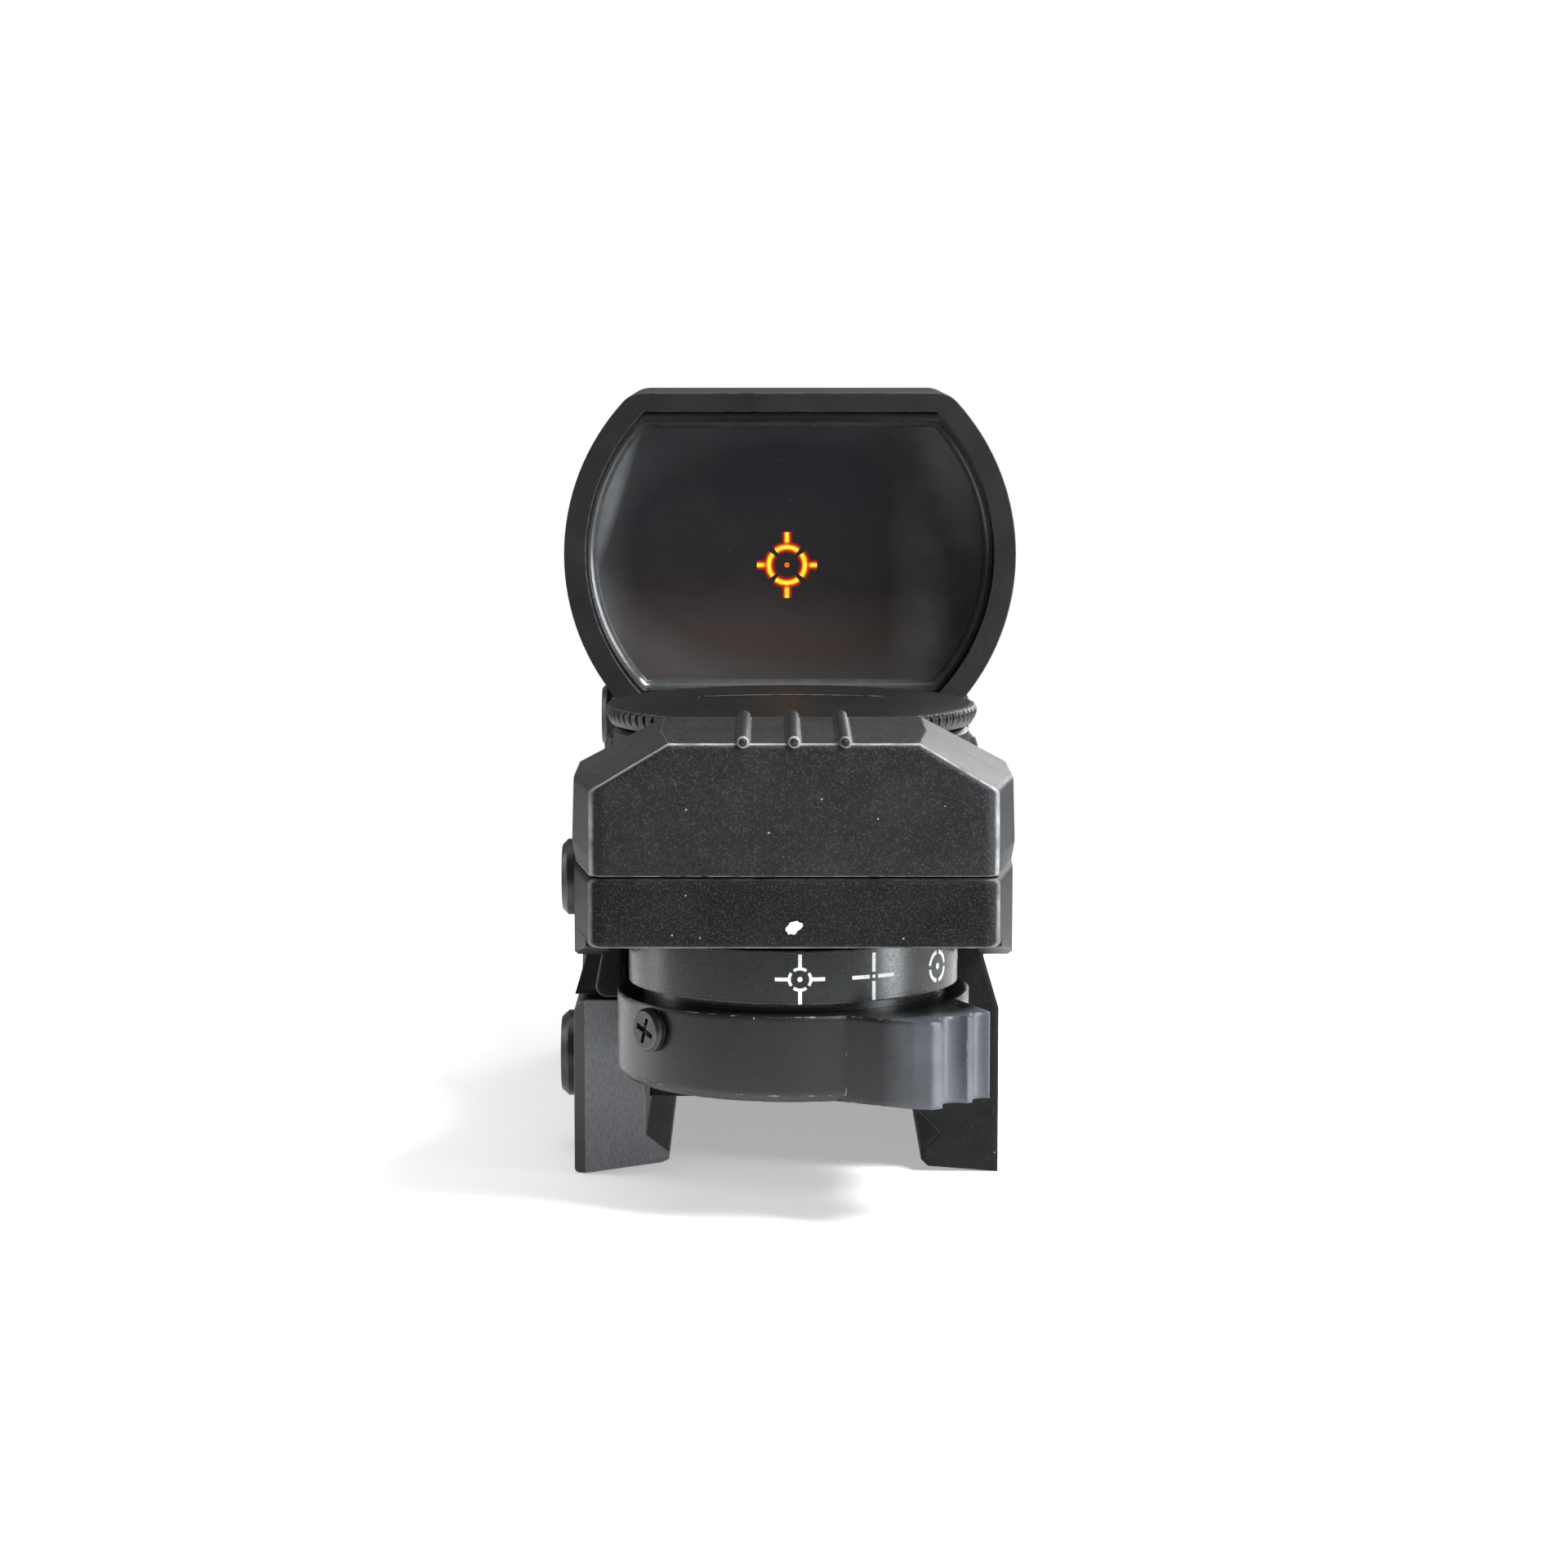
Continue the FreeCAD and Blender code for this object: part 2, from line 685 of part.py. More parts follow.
def make_emitter_cap():
    """The cover over the emitter: faceted, flaring forward, hollow below, with three ribs along its top."""
    cap = body("cap")
    rear = cap_section(
        cap, "cap_rear_section", "rear_y", "body_half_width - 0.1", "0.01", "cap_top_half_width"
    )
    middle = cap_section(
        cap, "cap_middle_section", "flare_y", "flare_half_width", "0.12", "cap_top_half_width + 0.7"
    )
    loft = cap.newObject("PartDesign::AdditiveLoft", "cap_flare")
    loft.Profile = rear
    loft.Sections = [middle]
    loft.Ruled = True
    cap.Tip = loft
    front = cap_section(
        cap, "cap_front_section", "flare_y", "flare_half_width", "0.12", "cap_top_half_width + 0.7"
    )
    pad(cap, "cap_front", front, "cap_front_y - flare_y", back=True)
    on_rear = lambda e: near(e.CenterOfMass.y, "rear_y") and len(e.Vertexes) == 2
    fillet(cap, "cap_corner_rounds", "corner_round", lambda e: on_rear(e) and abs(e.CenterOfMass.x) > 13)
    slope = lambda e: on_rear(e) and 9 < abs(e.CenterOfMass.x) < 12
    fillet(
        cap,
        "cap_slope_rounds",
        "edge_round",
        lambda e: slope(e) or (on_rear(e) and near(e.CenterOfMass.z, "cap_top_z")),
    )
    hollow = rectangle(
        cap,
        "hollow_plan",
        "XY",
        "block_top_z",
        ("-8.8", "8.8"),
        ("rear_y + cap_wall", "cap_front_y - cap_front_wall"),
    )
    pocket(cap, "hollow", hollow, "cap_top_z - block_top_z - cap_wall", back=True)
    wings = rectangle(
        cap,
        "wing_plan",
        "XY",
        "block_top_z",
        ("-12.4", "12.4"),
        ("rear_y + 5.6", "cap_front_y - cap_front_wall"),
    )
    pocket(cap, "wings", wings, "4.2", back=True)
    holes = circles(
        cap, "cap_thread_plan", "XY", "block_top_z", ("cap_screw_x", "cap_screw_y", "1.05"), (
            "-cap_screw_x", "cap_screw_y", "1.05"
        )
    )
    pocket(cap, "cap_threads", holes, "3.6", back=True)
    window = rectangle(cap, "window_plan", "XZ", "-cap_front_y", ("-2.5", "2.5"), ("28.4", "31"))
    pocket(cap, "window_opening", window, "cap_wall + 0.5", back=True)
    ribs = []
    for i in (-1, 0, 1):
        at = (f"{i} * rib_pitch", "rear_y + rib_radius * 0.4", "cap_top_z + 0.08")
        ribs.append(cylinder(f"rib_{i + 2}", "rib_radius", "cap_front_y - rear_y - 0.6", at, V(0, 1, 0)))
        ribs.append(ball(f"rib_end_{i + 2}", "rib_radius", at))
    return sub_part(fuse("cap_with_ribs", cap, *ribs), "emitter_cap")


def make_cap_screws():
    pair = []
    for side, sign in (("right", ""), ("left", "-")):
        made = screw(f"cap_screw_{side}", "1.8", "1.2", "1", "6", "cross")
        pair.append(place(made, (f"{sign}cap_screw_x", "cap_screw_y", "block_bottom_z + 1.3"), DOWN))
    return sub_part(group("cap_screw_pair", *pair), "cap_screws")


def make_emitter_window():
    glass = box(
        "window_glass", ("-2.45", "2.45"), ("cap_front_y - 0.7", "cap_front_y - 0.15"), ("28.45", "30.95")
    )
    return sub_part(glass, "emitter_window")


def make_windage():
    """The windage adjuster, its retaining clip, and the sled that it moves, which carries the LED."""
    made = screw(
        "windage",
        "adjuster_head_radius",
        "adjuster_head_height",
        "adjuster_shaft_radius",
        "flare_half_width - 6.9",
        "slot",
    )
    place(made, ("-flare_half_width - 0.02", "windage_y", "windage_z"), LEFT)
    sub_part(made, "windage_adjuster")
    ring = cylinder(
        "clip_ring", "adjuster_shaft_radius + 0.55", "0.45", ("-9.95", "windage_y", "windage_z"), RIGHT
    )
    hole = cylinder("clip_hole", "adjuster_shaft_radius", "1", ("-10.1", "windage_y", "windage_z"), RIGHT)
    sub_part(cut("clip", ring, hole), "windage_clip")
    across = ("windage_y - 2.5", "windage_y + 2.5")
    bar = box("sled_bar", ("-7.9", "3"), across, ("30.15", "31.1"))
    arm = box("sled_arm", ("-7.9", "-6.6"), across, ("windage_z - 1.4", "30.5"))
    post = box("sled_post", ("-1", "1"), ("drum_y - 1.4", "drum_y + 0.2"), ("28", "30.5"))
    thread = cylinder(
        "sled_thread", "adjuster_shaft_radius + fit", "3", ("-9", "windage_y", "windage_z"), RIGHT
    )
    sub_part(cut("sled", fuse("sled_solid", bar, arm, post), thread), "emitter_sled")
    chip = box("led_chip", ("-0.8", "0.8"), ("drum_y + 0.2", "drum_y + 0.9"), ("28.6", "29.6"))
    sub_part(chip, "emitter_led")


# ---------------------------------------------------------------- reticle selector


def make_drum():
    """The selector drum: a band for the marks, a neck for the lever, and a shaft up into the housing."""
    drum = body("drum")
    track_in = "detent_track_radius - 1.15"
    track_out = "detent_track_radius + 1.15"
    revolve(
        drum,
        "drum_turned",
        [
            ("8.6", "lever_bottom_z + 0.2"),
            ("drum_neck_radius", "lever_bottom_z + 0.2"),
            ("drum_neck_radius", "drum_band_z"),
            ("drum_radius", "drum_band_z"),
            ("drum_radius", "drum_top_z"),
            (track_out, "drum_top_z"),
            (track_out, "drum_top_z - 0.7"),
            (track_in, "drum_top_z - 0.7"),
            (track_in, "drum_top_z"),
            ("shaft_radius", "drum_top_z"),
            ("shaft_radius", "sleeve_bottom_z"),
            ("0", "sleeve_bottom_z"),
            ("0", "lever_bottom_z + 3"),
            ("8.6", "lever_bottom_z + 3"),
        ],
    )
    clip_groove = drum.newObject("PartDesign::Groove", "clip_groove")
    section = rectangle(
        drum, "clip_groove_section", "XZ", "0", ("shaft_radius - 0.5", "shaft_radius + 1"), ("24.2", "24.8")
    )
    clip_groove.Profile = section
    clip_groove.ReferenceAxis = (section, ["V_Axis"])
    clip_groove.Angle = 360
    drum.Tip = clip_groove
    dimple = circles(drum, "dimple_plan", "XY", "drum_top_z - 0.7", ("detent_track_radius", "0", "0.6"))
    first = pocket(drum, "dimple", dimple, "0.35")
    dimples = drum.newObject("PartDesign::PolarPattern", "dimples")
    dimples.Originals = [first]
    dimples.Axis = z_axis(drum)
    dimples.Angle = 90
    dimples.Occurrences = 4
    drum.Tip = dimples
    bind(drum, at_y="drum_y")
    hole = cylinder("lever_screw_hole", "0.8", "5", ("0", "drum_y", "lever_screw_z"), screw_direction())
    start = screw_direction() * 7.5
    bind(hole, at_x=str(round(start.x, 4)), at_y=f"drum_y + {round(start.y, 4)}")
    return sub_part(cut("drum_drilled", drum, hole), "reticle_drum")


def screw_direction():
    angle = math.radians(num("lever_screw_angle"))
    return V(math.cos(angle), math.sin(angle), 0)


def make_drum_fittings():
    ring = cylinder("drum_clip_ring", "shaft_radius + 1", "0.5", ("0", "drum_y", "24.25"))
    hole = cylinder("drum_clip_hole", "shaft_radius - 0.45", "1", ("0", "drum_y", "24"))
    sub_part(cut("drum_clip_made", ring, hole), "drum_clip")
    outer = cylinder(
        "sleeve_outer",
        "sleeve_radius",
        "sleeve_top_z - sleeve_bottom_z",
        ("0", "drum_y", "sleeve_bottom_z"),
    )
    inner = cylinder("sleeve_inner", "sleeve_radius - 0.5", "3", ("0", "drum_y", "sleeve_bottom_z + 0.4"))
    windows = []
    for i in range(4):
        angle = math.radians(90 + 30 * i)
        aim = V(math.cos(angle), math.sin(angle), 0)
        windows.append(cylinder(f"reticle_window_{i + 1}", "0.55", "6", ("0", "drum_y", "29.1"), aim))
    sub_part(cut("sleeve", outer, inner, *windows), "reticle_sleeve")
    at = ("detent_track_radius", "drum_y")
    sub_part(ball("drum_ball", "0.95", (*at, "drum_top_z + 0.3")), "drum_detent_ball")
    sub_part(
        make_spring("drum_spring", 0.7, 0.13, 0.75, 2.7, (*at, "drum_top_z + 1.4")), "drum_detent_spring"
    )


def make_spring(name, radius, wire, pitch, height, at):
    """A compression spring standing on its place."""
    helix = Part.makeHelix(pitch, height, radius)
    ring = Part.Wire([Part.makeCircle(wire, V(radius, 0, 0), V(0, 1, 0))])
    made = doc.addObject("Part::Feature", name)
    made.Shape = Part.Wire(helix.Edges).makePipeShell([ring], True, True)
    return bind(made, at_x=at[0], at_y=at[1], at_z=at[2])


def make_lever():
    """The selector lever: a ring round the drum's neck with a ridged thumb tab."""
    lever = body("lever")
    root = "24.4"
    root_x = f"lever_radius * cos({root} deg)"
    root_y = f"lever_radius * sin({root} deg)"
    points = [
        (root_x, root_y, "lever_radius", "long"),
        (root_x, f"-({root_y})"),
        ("tab_radius - 1.1", "-tab_half_width"),
        ("tab_radius - 0.1", "0.8 - tab_half_width"),
        ("tab_radius", "1.4 - tab_half_width"),
        ("tab_radius - 0.2", "1.4"),
        ("tab_radius - 0.5", "tab_half_width - 0.2"),
        ("tab_radius - 0.9", "tab_half_width"),
    ]
    pad(
        lever,
        "lever_solid",
        outline(lever, "lever_plan", "XY", "lever_bottom_z", points),
        "lever_top_z - lever_bottom_z",
    )
    bore = circles(lever, "lever_bore_plan", "XY", "lever_top_z", ("0", "0", "drum_neck_radius + 0.02"))
    pocket(lever, "lever_bore", bore, "lever_top_z - lever_bottom_z + 1")
    flutes = circles(
        lever, "flute_plan", "XY", "lever_top_z", ("tab_radius + 0.1", "-0.45", "1.2"), (
            "tab_radius", "2.2", "0.95"
        )
    )
    pocket(lever, "flutes", flutes, "lever_top_z - lever_bottom_z + 1")
    low = lambda e: near(e.CenterOfMass.z, "lever_bottom_z") and near(e.BoundBox.ZLength, "0")
    outer = lambda e: low(e) and e.BoundBox.DiagonalLength > 20 and not near(
        e.BoundBox.XLength, "2 * drum_neck_radius + 0.04"
    )
    chamfer(lever, "lever_chamfer", "edge_round", outer)
    rotation = FreeCAD.Rotation(UP, num("lever_angle"))
    lever.Placement = FreeCAD.Placement(V(0, 0, 0), rotation)
    bind(lever, at_y="drum_y")
    hole = cylinder("lever_hole", "0.85", "8", ("0", "drum_y", "lever_screw_z"), screw_direction())
    start = screw_direction() * 7.5
    bind(hole, at_x=str(round(start.x, 4)), at_y=f"drum_y + {round(start.y, 4)}")
    sub_part(cut("lever_drilled", lever, hole), "selector_lever")
    made = screw("lever_screw_body", "1.5", "0.7", "0.8", "3.6", "cross")
    out = screw_direction() * (num("lever_radius") + 0.02)
    place(
        made, (str(round(out.x, 4)), f"drum_y + {round(out.y, 4)}", "lever_screw_z"), screw_direction(), 20
    )
    sub_part(made, "lever_screw")


# ---------------------------------------------------------------- brightness dial and battery


def make_dial():
    """The brightness dial: a lobed ring round the battery, on a hub that turns in the base."""
    dial = body("dial")
    revolve(
        dial,
        "dial_turned",
        [
            ("0", "hub_bottom_z"),
            ("hub_radius", "hub_bottom_z"),
            ("hub_radius", "dial_bottom_z - 0.4"),
            ("hub_radius + 1.2", "dial_bottom_z"),
            ("dial_root_radius - 0.4", "dial_bottom_z"),
            ("dial_root_radius", "dial_bottom_z + 0.4"),
            ("dial_root_radius", "dial_top_z - 0.3"),
            ("dial_root_radius - 0.3", "dial_top_z"),
            ("thread_radius", "dial_top_z"),
            ("thread_radius", "28.2"),
            ("cell_radius + 0.2", "28.2"),
            ("cell_radius + 0.2", "dial_floor_z"),
            ("0", "dial_floor_z"),
        ],
    )
    lobe = revolve(
        dial,
        "lobe",
        [
            ("0", "dial_bottom_z + 0.3"),
            ("dial_lobe_radius - 0.5", "dial_bottom_z + 0.3"),
            ("dial_lobe_radius - 0.1", "dial_bottom_z + 0.8"),
            ("dial_lobe_radius", "dial_bottom_z + 1.6"),
            ("dial_lobe_radius", "dial_top_z - 1.5"),
            ("dial_lobe_radius - 0.2", "dial_top_z - 0.9"),
            ("dial_lobe_radius - 0.7", "dial_top_z - 0.4"),
            ("0", "dial_top_z - 0.4"),
        ],
        "dial_radius - dial_lobe_radius",
    )
    lobes = dial.newObject("PartDesign::PolarPattern", "lobes")
    lobes.Originals = [lobe]
    lobes.Axis = z_axis(dial)
    lobes.Angle = 360
    lobes.Occurrences = int(num("lobe_count"))
    dial.Tip = lobes
    track = circles(dial, "dial_track_plan", "XY", "dial_bottom_z", ("0", "0", "12.95"), ("0", "0", "11.3"))
    pocket(dial, "dial_track", track, "0.65", back=True)
    rings = (("0", "0", "seal_radius + 0.42"), ("0", "0", "seal_radius - 0.42"))
    pocket(dial, "seal_groove", circles(dial, "seal_groove_plan", "XY", "dial_top_z", *rings), "0.45")
    dimple = circles(dial, "dial_dimple_plan", "XY", "dial_bottom_z + 0.65", ("0", "12.2", "0.5"))
    first = pocket(dial, "dial_dimple", dimple, "0.3", back=True)
    dimples = dial.newObject("PartDesign::PolarPattern", "dial_dimples")
    dimples.Originals = [first]
    dimples.Axis = z_axis(dial)
    dimples.Angle = 360
    dimples.Occurrences = 12
    dial.Tip = dimples
    thread = circles(dial, "dial_thread_plan", "XY", "dial_top_z", ("0", "0", "thread_radius"))
    pocket(dial, "dial_thread", thread, "dial_top_z - 28.2")
    hub_thread = circles(dial, "hub_thread_plan", "XY", "hub_bottom_z", ("0", "0", "1.3"))
    pocket(dial, "hub_thread", hub_thread, "6", back=True)
    bind(dial, at_y="dial_y")
    return sub_part(dial, "brightness_dial")


def make_battery_lid():
    """The battery lid: a finely knurled disc, slightly domed, with a coin slot and a threaded skirt."""
    lid = body("lid")
    revolve(
        lid,
        "lid_turned",
        [
            ("cell_radius + 0.35", "28.5"),
            ("thread_radius - 0.08", "28.5"),
            ("thread_radius - 0.08", "lid_bottom_z"),
            ("lid_radius - 0.4", "lid_bottom_z"),
            ("lid_radius - 0.1", "lid_bottom_z + 0.5"),
            ("lid_radius", "lid_bottom_z + 0.8"),
            ("lid_radius", "lid_rim_z - 0.35"),
            ("lid_radius - 0.15", "lid_rim_z - 0.1"),
            ("lid_radius - 0.5", "lid_rim_z", "170"),
            ("0", "lid_top_z"),
            ("0", "lid_bottom_z + 0.1"),
            ("cell_radius + 0.35", "lid_bottom_z + 0.1"),
        ],
    )
    slot = rectangle(lid, "coin_slot_plan", "XY", "lid_top_z + 0.1", ("-7", "7"), ("-0.65", "0.65"))
    pocket(lid, "coin_slot", slot, "0.8")
    tooth_plan = outline(
        lid,
        "knurl_plan",
        "XY",
        "lid_bottom_z",
        [("lid_radius - 0.3", "0"), ("lid_radius + 0.2", "-0.34"), ("lid_radius + 0.2", "0.34")],
    )
    tooth = pocket(lid, "knurl", tooth_plan, "lid_rim_z - lid_bottom_z + 0.2", back=True)
    teeth = lid.newObject("PartDesign::PolarPattern", "knurls")
    teeth.Originals = [tooth]
    teeth.Axis = z_axis(lid)
    teeth.Angle = 360
    teeth.Occurrences = int(num("lid_teeth"))
    lid.Tip = teeth
    bind(lid, at_y="dial_y")
    return sub_part(lid, "battery_lid")


def make_dial_fittings():
    seal = turn(doc.addObject("Part::Torus", "lid_seal"), UP)
    bind(seal, Radius1="seal_radius", Radius2="0.36", at_y="dial_y", at_z="lid_bottom_z - 0.38")
    sub_part(seal, "lid_o_ring")
    axis = ("0", "dial_y")
    sub_part(cylinder("coin", "cell_radius", "cell_height", (*axis, "cell_bottom_z")), "coin_cell")
    plate = cylinder("contact_disc", "7", "0.15", (*axis, "dial_floor_z + 0.02"))
    bump = cylinder("contact_bump", "2", "0.25", (*axis, "dial_floor_z + 0.02"))
    sub_part(fuse("contact", plate, bump), "battery_contact")
    board = cylinder("board_disc", "pocket_radius - 0.1", "1.2", (*axis, "pocket_z"))
    hole = cylinder("board_hole", "hub_radius + 0.3", "2", (*axis, "pocket_z - 0.4"))
    sub_part(cut("board", board, hole), "switch_board")
    ring = cylinder("wiper_ring", "6.6", "0.25", (*axis, "dial_bottom_z - 0.3"))
    ring_hole = cylinder("wiper_hole", "hub_radius + 2.3", "1", (*axis, "dial_bottom_z - 0.6"))
    arms = []
    for i in range(3):
        angle = math.radians(120 * i)
        aim = V(math.cos(angle), math.sin(angle), 0)
        at = (str(round(5.95 * aim.x, 3)), f"dial_y + {round(5.95 * aim.y, 3)}", "pocket_z + 1.22")
        arms.append(cylinder(f"brush_{i + 1}", "0.5", "dial_bottom_z - pocket_z - 1.4", at))
    sub_part(fuse("wiper", cut("wiper_plate", ring, ring_hole), *arms), "switch_wiper")
    washer = cylinder("washer_disc", "hub_radius + 1.3", "0.4", (*axis, "hub_bottom_z - 0.42"))
    washer_hole = cylinder("washer_hole", "1.35", "2", (*axis, "hub_bottom_z - 1"))
    sub_part(cut("washer", washer, washer_hole), "dial_washer")
    made = screw("dial_screw_body", "2.4", "1.6", "1.25", "5", "cross")
    sub_part(place(made, (*axis, "hub_bottom_z - 0.44"), DOWN), "dial_screw")
    at = ("0", "dial_y + 12.2")
    sub_part(ball("dial_ball", "0.75", (*at, "deck_z + 0.05")), "dial_detent_ball")
    sub_part(make_spring("dial_spring", 0.55, 0.11, 0.6, 2.3, (*at, "deck_z - 3.2")), "dial_detent_spring")


# ---------------------------------------------------------------- lens hood and lens


def flatted(radius, top, bottom):
    """The outline of a disc cut flat above and below, about its own centre, starting at the lower right."""
    low_x = f"sqrt(({radius}) ^ 2 - ({bottom}) ^ 2)"
    high_x = f"sqrt(({radius}) ^ 2 - ({top}) ^ 2)"
    return [
        (low_x, f"-({bottom})", radius),
        (high_x, top),
        (f"-({high_x})", top, radius),
        (f"-({low_x})", f"-({bottom})"),
    ]


def make_hood():
    """The hood round the lens: a disc-shaped frame cut flat on top, with a foot and a brow forward."""
    hood = body("hood")
    rim = flatted("hood_radius", "hood_flat", "hood_axis_z - deck_z")
    pad(hood, "hood_shell", outline(hood, "hood_rim", "XZ", "0", rim), "hood_depth + brow_reach", back=True)
    foot = rectangle(
        hood,
        "foot_section",
        "XZ",
        "0",
        ("-foot_half_width", "foot_half_width"),
        ("deck_z - hood_axis_z", "foot_top_z - hood_axis_z"),
    )
    pad(hood, "foot", foot, "hood_depth + 0.9", back=True)
    lip = flatted("hood_lip_radius", "bore_top - 0.5", "bore_bottom - 0.5")
    pocket(hood, "lip_opening", outline(hood, "lip_plan", "XZ", "0", lip), "hood_lip + 1")
    bore = flatted("hood_radius - hood_wall", "bore_top", "bore_bottom")
    pocket(hood, "lens_bore", outline(hood, "bore_plan", "XZ", "-hood_lip", bore), "40")
    slant = [
        ("hood_depth", "-8.5"),
        ("hood_depth + brow_reach", "hood_flat"),
        ("hood_depth + brow_reach", "hood_flat + 6"),
        ("hood_depth + brow_reach + 6", "hood_flat + 6"),
        ("hood_depth + brow_reach + 6", "-20"),
        ("hood_depth + 0.9", "-20"),
        ("hood_depth + 0.9", "-10.5"),
    ]
    pocket(hood, "brow_slant", outline(hood, "brow_side", "YZ", "20", slant), "40")
    on_top = lambda e: straight_along(e, V(0, 1, 0)) and near(e.CenterOfMass.z, "hood_flat")
    fillet(hood, "crown_rounds", "2.2", on_top)
    slot = rectangle(
        hood, "tang_slot_plan", "XY", "-bore_bottom + 0.5", ("-2.2", "4.2"), (
            "elevation_y - hood_rear_y - 2.4", "elevation_y - hood_rear_y + 2.6"
        )
    )
    pocket(hood, "tang_slot", slot, "3.6")
    place(hood, ("0", "hood_rear_y", "hood_axis_z"))
    shaft_at = ("-foot_half_width - 1", "elevation_y", "elevation_z")
    shaft = cylinder("elevation_bore", "adjuster_shaft_radius + fit", "foot_half_width", shaft_at, RIGHT)
    pins = [
        cylinder(f"pin_hole_{side}", "0.6", "3", (at, "lens_y", "hood_axis_z"), RIGHT)
        for side, at in (("left", "-hood_radius - 0.5"), ("right", "hood_radius - 2.5"))
    ]
    screws = [
        cylinder(f"hood_thread_{side}", "1.5 + fit", "4", (x, "base_front_y - 3.6", "deck_z - 0.5"))
        for side, x in (("left", "-7.2"), ("right", "7.2"))
    ]
    return sub_part(cut("hood_drilled", hood, shaft, *pins, *screws), "lens_hood")


def tilted(thing):
    """Puts a thing made about the lens centre into the hood, leaning back at the top."""
    thing.Placement = FreeCAD.Placement(V(0, 0, 0), FreeCAD.Rotation(RIGHT, num("lens_tilt")))
    return bind(thing, at_y="lens_y", at_z="hood_axis_z")


def make_lens():
    """The lens: a disc cut flat above and below, concave to the user, whose coating returns the reticle."""
    blank = body("lens_blank")
    edge = flatted("lens_radius", "lens_half_height", "lens_half_height")
    pad(blank, "lens_edge", outline(blank, "lens_plan", "XZ", "5", edge), "12", back=True)
    outer = bind(doc.addObject("Part::Sphere", "lens_front"), Radius="lens_curve + lens_thickness")
    inner = bind(doc.addObject("Part::Sphere", "lens_rear"), Radius="lens_curve")
    bind(outer, at_y="-lens_curve - 0.2")
    bind(inner, at_y="-lens_curve - 0.2")
    lens = tilted(common("lens", blank, cut("lens_shell", outer, inner)))
    return sub_part(lens, "objective_lens")


def make_lens_cell():
    """The ring that holds the lens. It tilts on two pins, and its tang is moved by the elevation adjuster."""
    ring = body("lens_ring")
    edge = flatted("cell_ring_radius", "cell_ring_half", "cell_ring_half - 0.2")
    pad(
        ring,
        "ring_solid",
        outline(ring, "ring_plan", "XZ", "cell_ring_depth / 2", edge),
        "cell_ring_depth",
        back=True,
    )
    opening = flatted("aperture_radius", "aperture_half", "aperture_half")
    pocket(ring, "aperture", outline(ring, "aperture_plan", "XZ", "cell_ring_depth / 2 + 1", opening), "20")
    seat = flatted("lens_radius + 0.04", "lens_half_height + 0.04", "lens_half_height + 0.04")
    pocket(ring, "lens_seat", outline(ring, "seat_plan", "XZ", "1.36", seat), "20")
    tang = rectangle(
        ring,
        "tang_section",
        "XZ",
        "1.3",
        ("-1.4", "3.4"),
        ("-cell_ring_half - 2.7", "0.4 - cell_ring_half"),
    )
    pad(ring, "tang", tang, "2.6", back=True)
    tilted(ring)
    pins = [
        cylinder(f"pivot_bore_{side}", "0.6 + fit", "3", (at, "lens_y", "hood_axis_z"), RIGHT)
        for side, at in (("left", "-hood_radius - 0.5"), ("right", "hood_radius - 2.5"))
    ]
    slot = box(
        "eccentric_slot", ("-2", "4"), ("elevation_y - 0.85", "elevation_y + 0.85"), (
            "elevation_z - 3", "elevation_z + 1.15"
        )
    )
    return sub_part(cut("ring_drilled", ring, slot, *pins), "lens_cell")


def make_hood_fittings():
    pins = []
    for side, at in (("left", "-hood_radius + 0.15"), ("right", "hood_radius - 1.45")):
        pins.append(cylinder(f"pivot_pin_{side}", "0.6", "1.3", (at, "lens_y", "hood_axis_z"), RIGHT))
    sub_part(group("pivot_pins", *pins), "lens_pivot_pins")
    head = screw(
        "elevation",
        "adjuster_head_radius",
        "adjuster_head_height",
        "adjuster_shaft_radius",
        "foot_half_width - 2.3",
        "slot",
    )
    place(head, ("-foot_half_width - 0.02", "elevation_y", "elevation_z"), LEFT)
    pin = cylinder(
        "eccentric_pin", "0.75", "5.4", ("-2.4", "elevation_y", "elevation_z + eccentric"), RIGHT
    )
    sub_part(fuse("elevation_with_pin", head, pin), "elevation_adjuster")
    pair = []
    for side, x in (("left", "-7.2"), ("right", "7.2")):
        made = screw(f"hood_screw_{side}", "2.7", "2", "1.5", "19.5", "hex")
        pair.append(place(made, (x, "base_front_y - 3.6", "seat_z + 2.6"), DOWN))
    sub_part(group("hood_screw_pair", *pair), "hood_screws")


# ---------------------------------------------------------------- build, check and write


def main():
    make_base()
    make_clamp_plate()
    make_clamp_screws()
    make_emitter_cap()
    make_cap_screws()
    make_emitter_window()
    make_windage()
    make_drum()
    make_drum_fittings()
    make_lever()
    make_dial()
    make_battery_lid()
    make_dial_fittings()
    make_hood()
    make_lens()
    make_lens_cell()
    make_hood_fittings()
    doc.recompute()
    failed = [o.Name for o in doc.Objects if {"Invalid", "Error"} & set(o.State)]
    if failed:
        raise RuntimeError(f"these objects failed: {failed}")
    os.makedirs("parts", exist_ok=True)
    for thing in SUB_PARTS:
        shape = thing.Shape
        if shape.isNull() or not shape.isValid() or not shape.Solids:
            raise RuntimeError(f"{thing.Label} has no valid solid")
        shape.exportStep(os.path.join("parts", thing.Label + ".step"))
        print(f"{thing.Label}: {len(shape.Solids)} solid(s), {shape.Volume:.1f} mm3")


main()
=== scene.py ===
"""The red dot finder as seen from behind and slightly above, on a pale floor in soft studio light."""
import math

import bmesh
import bpy
from mathutils import Matrix, Vector


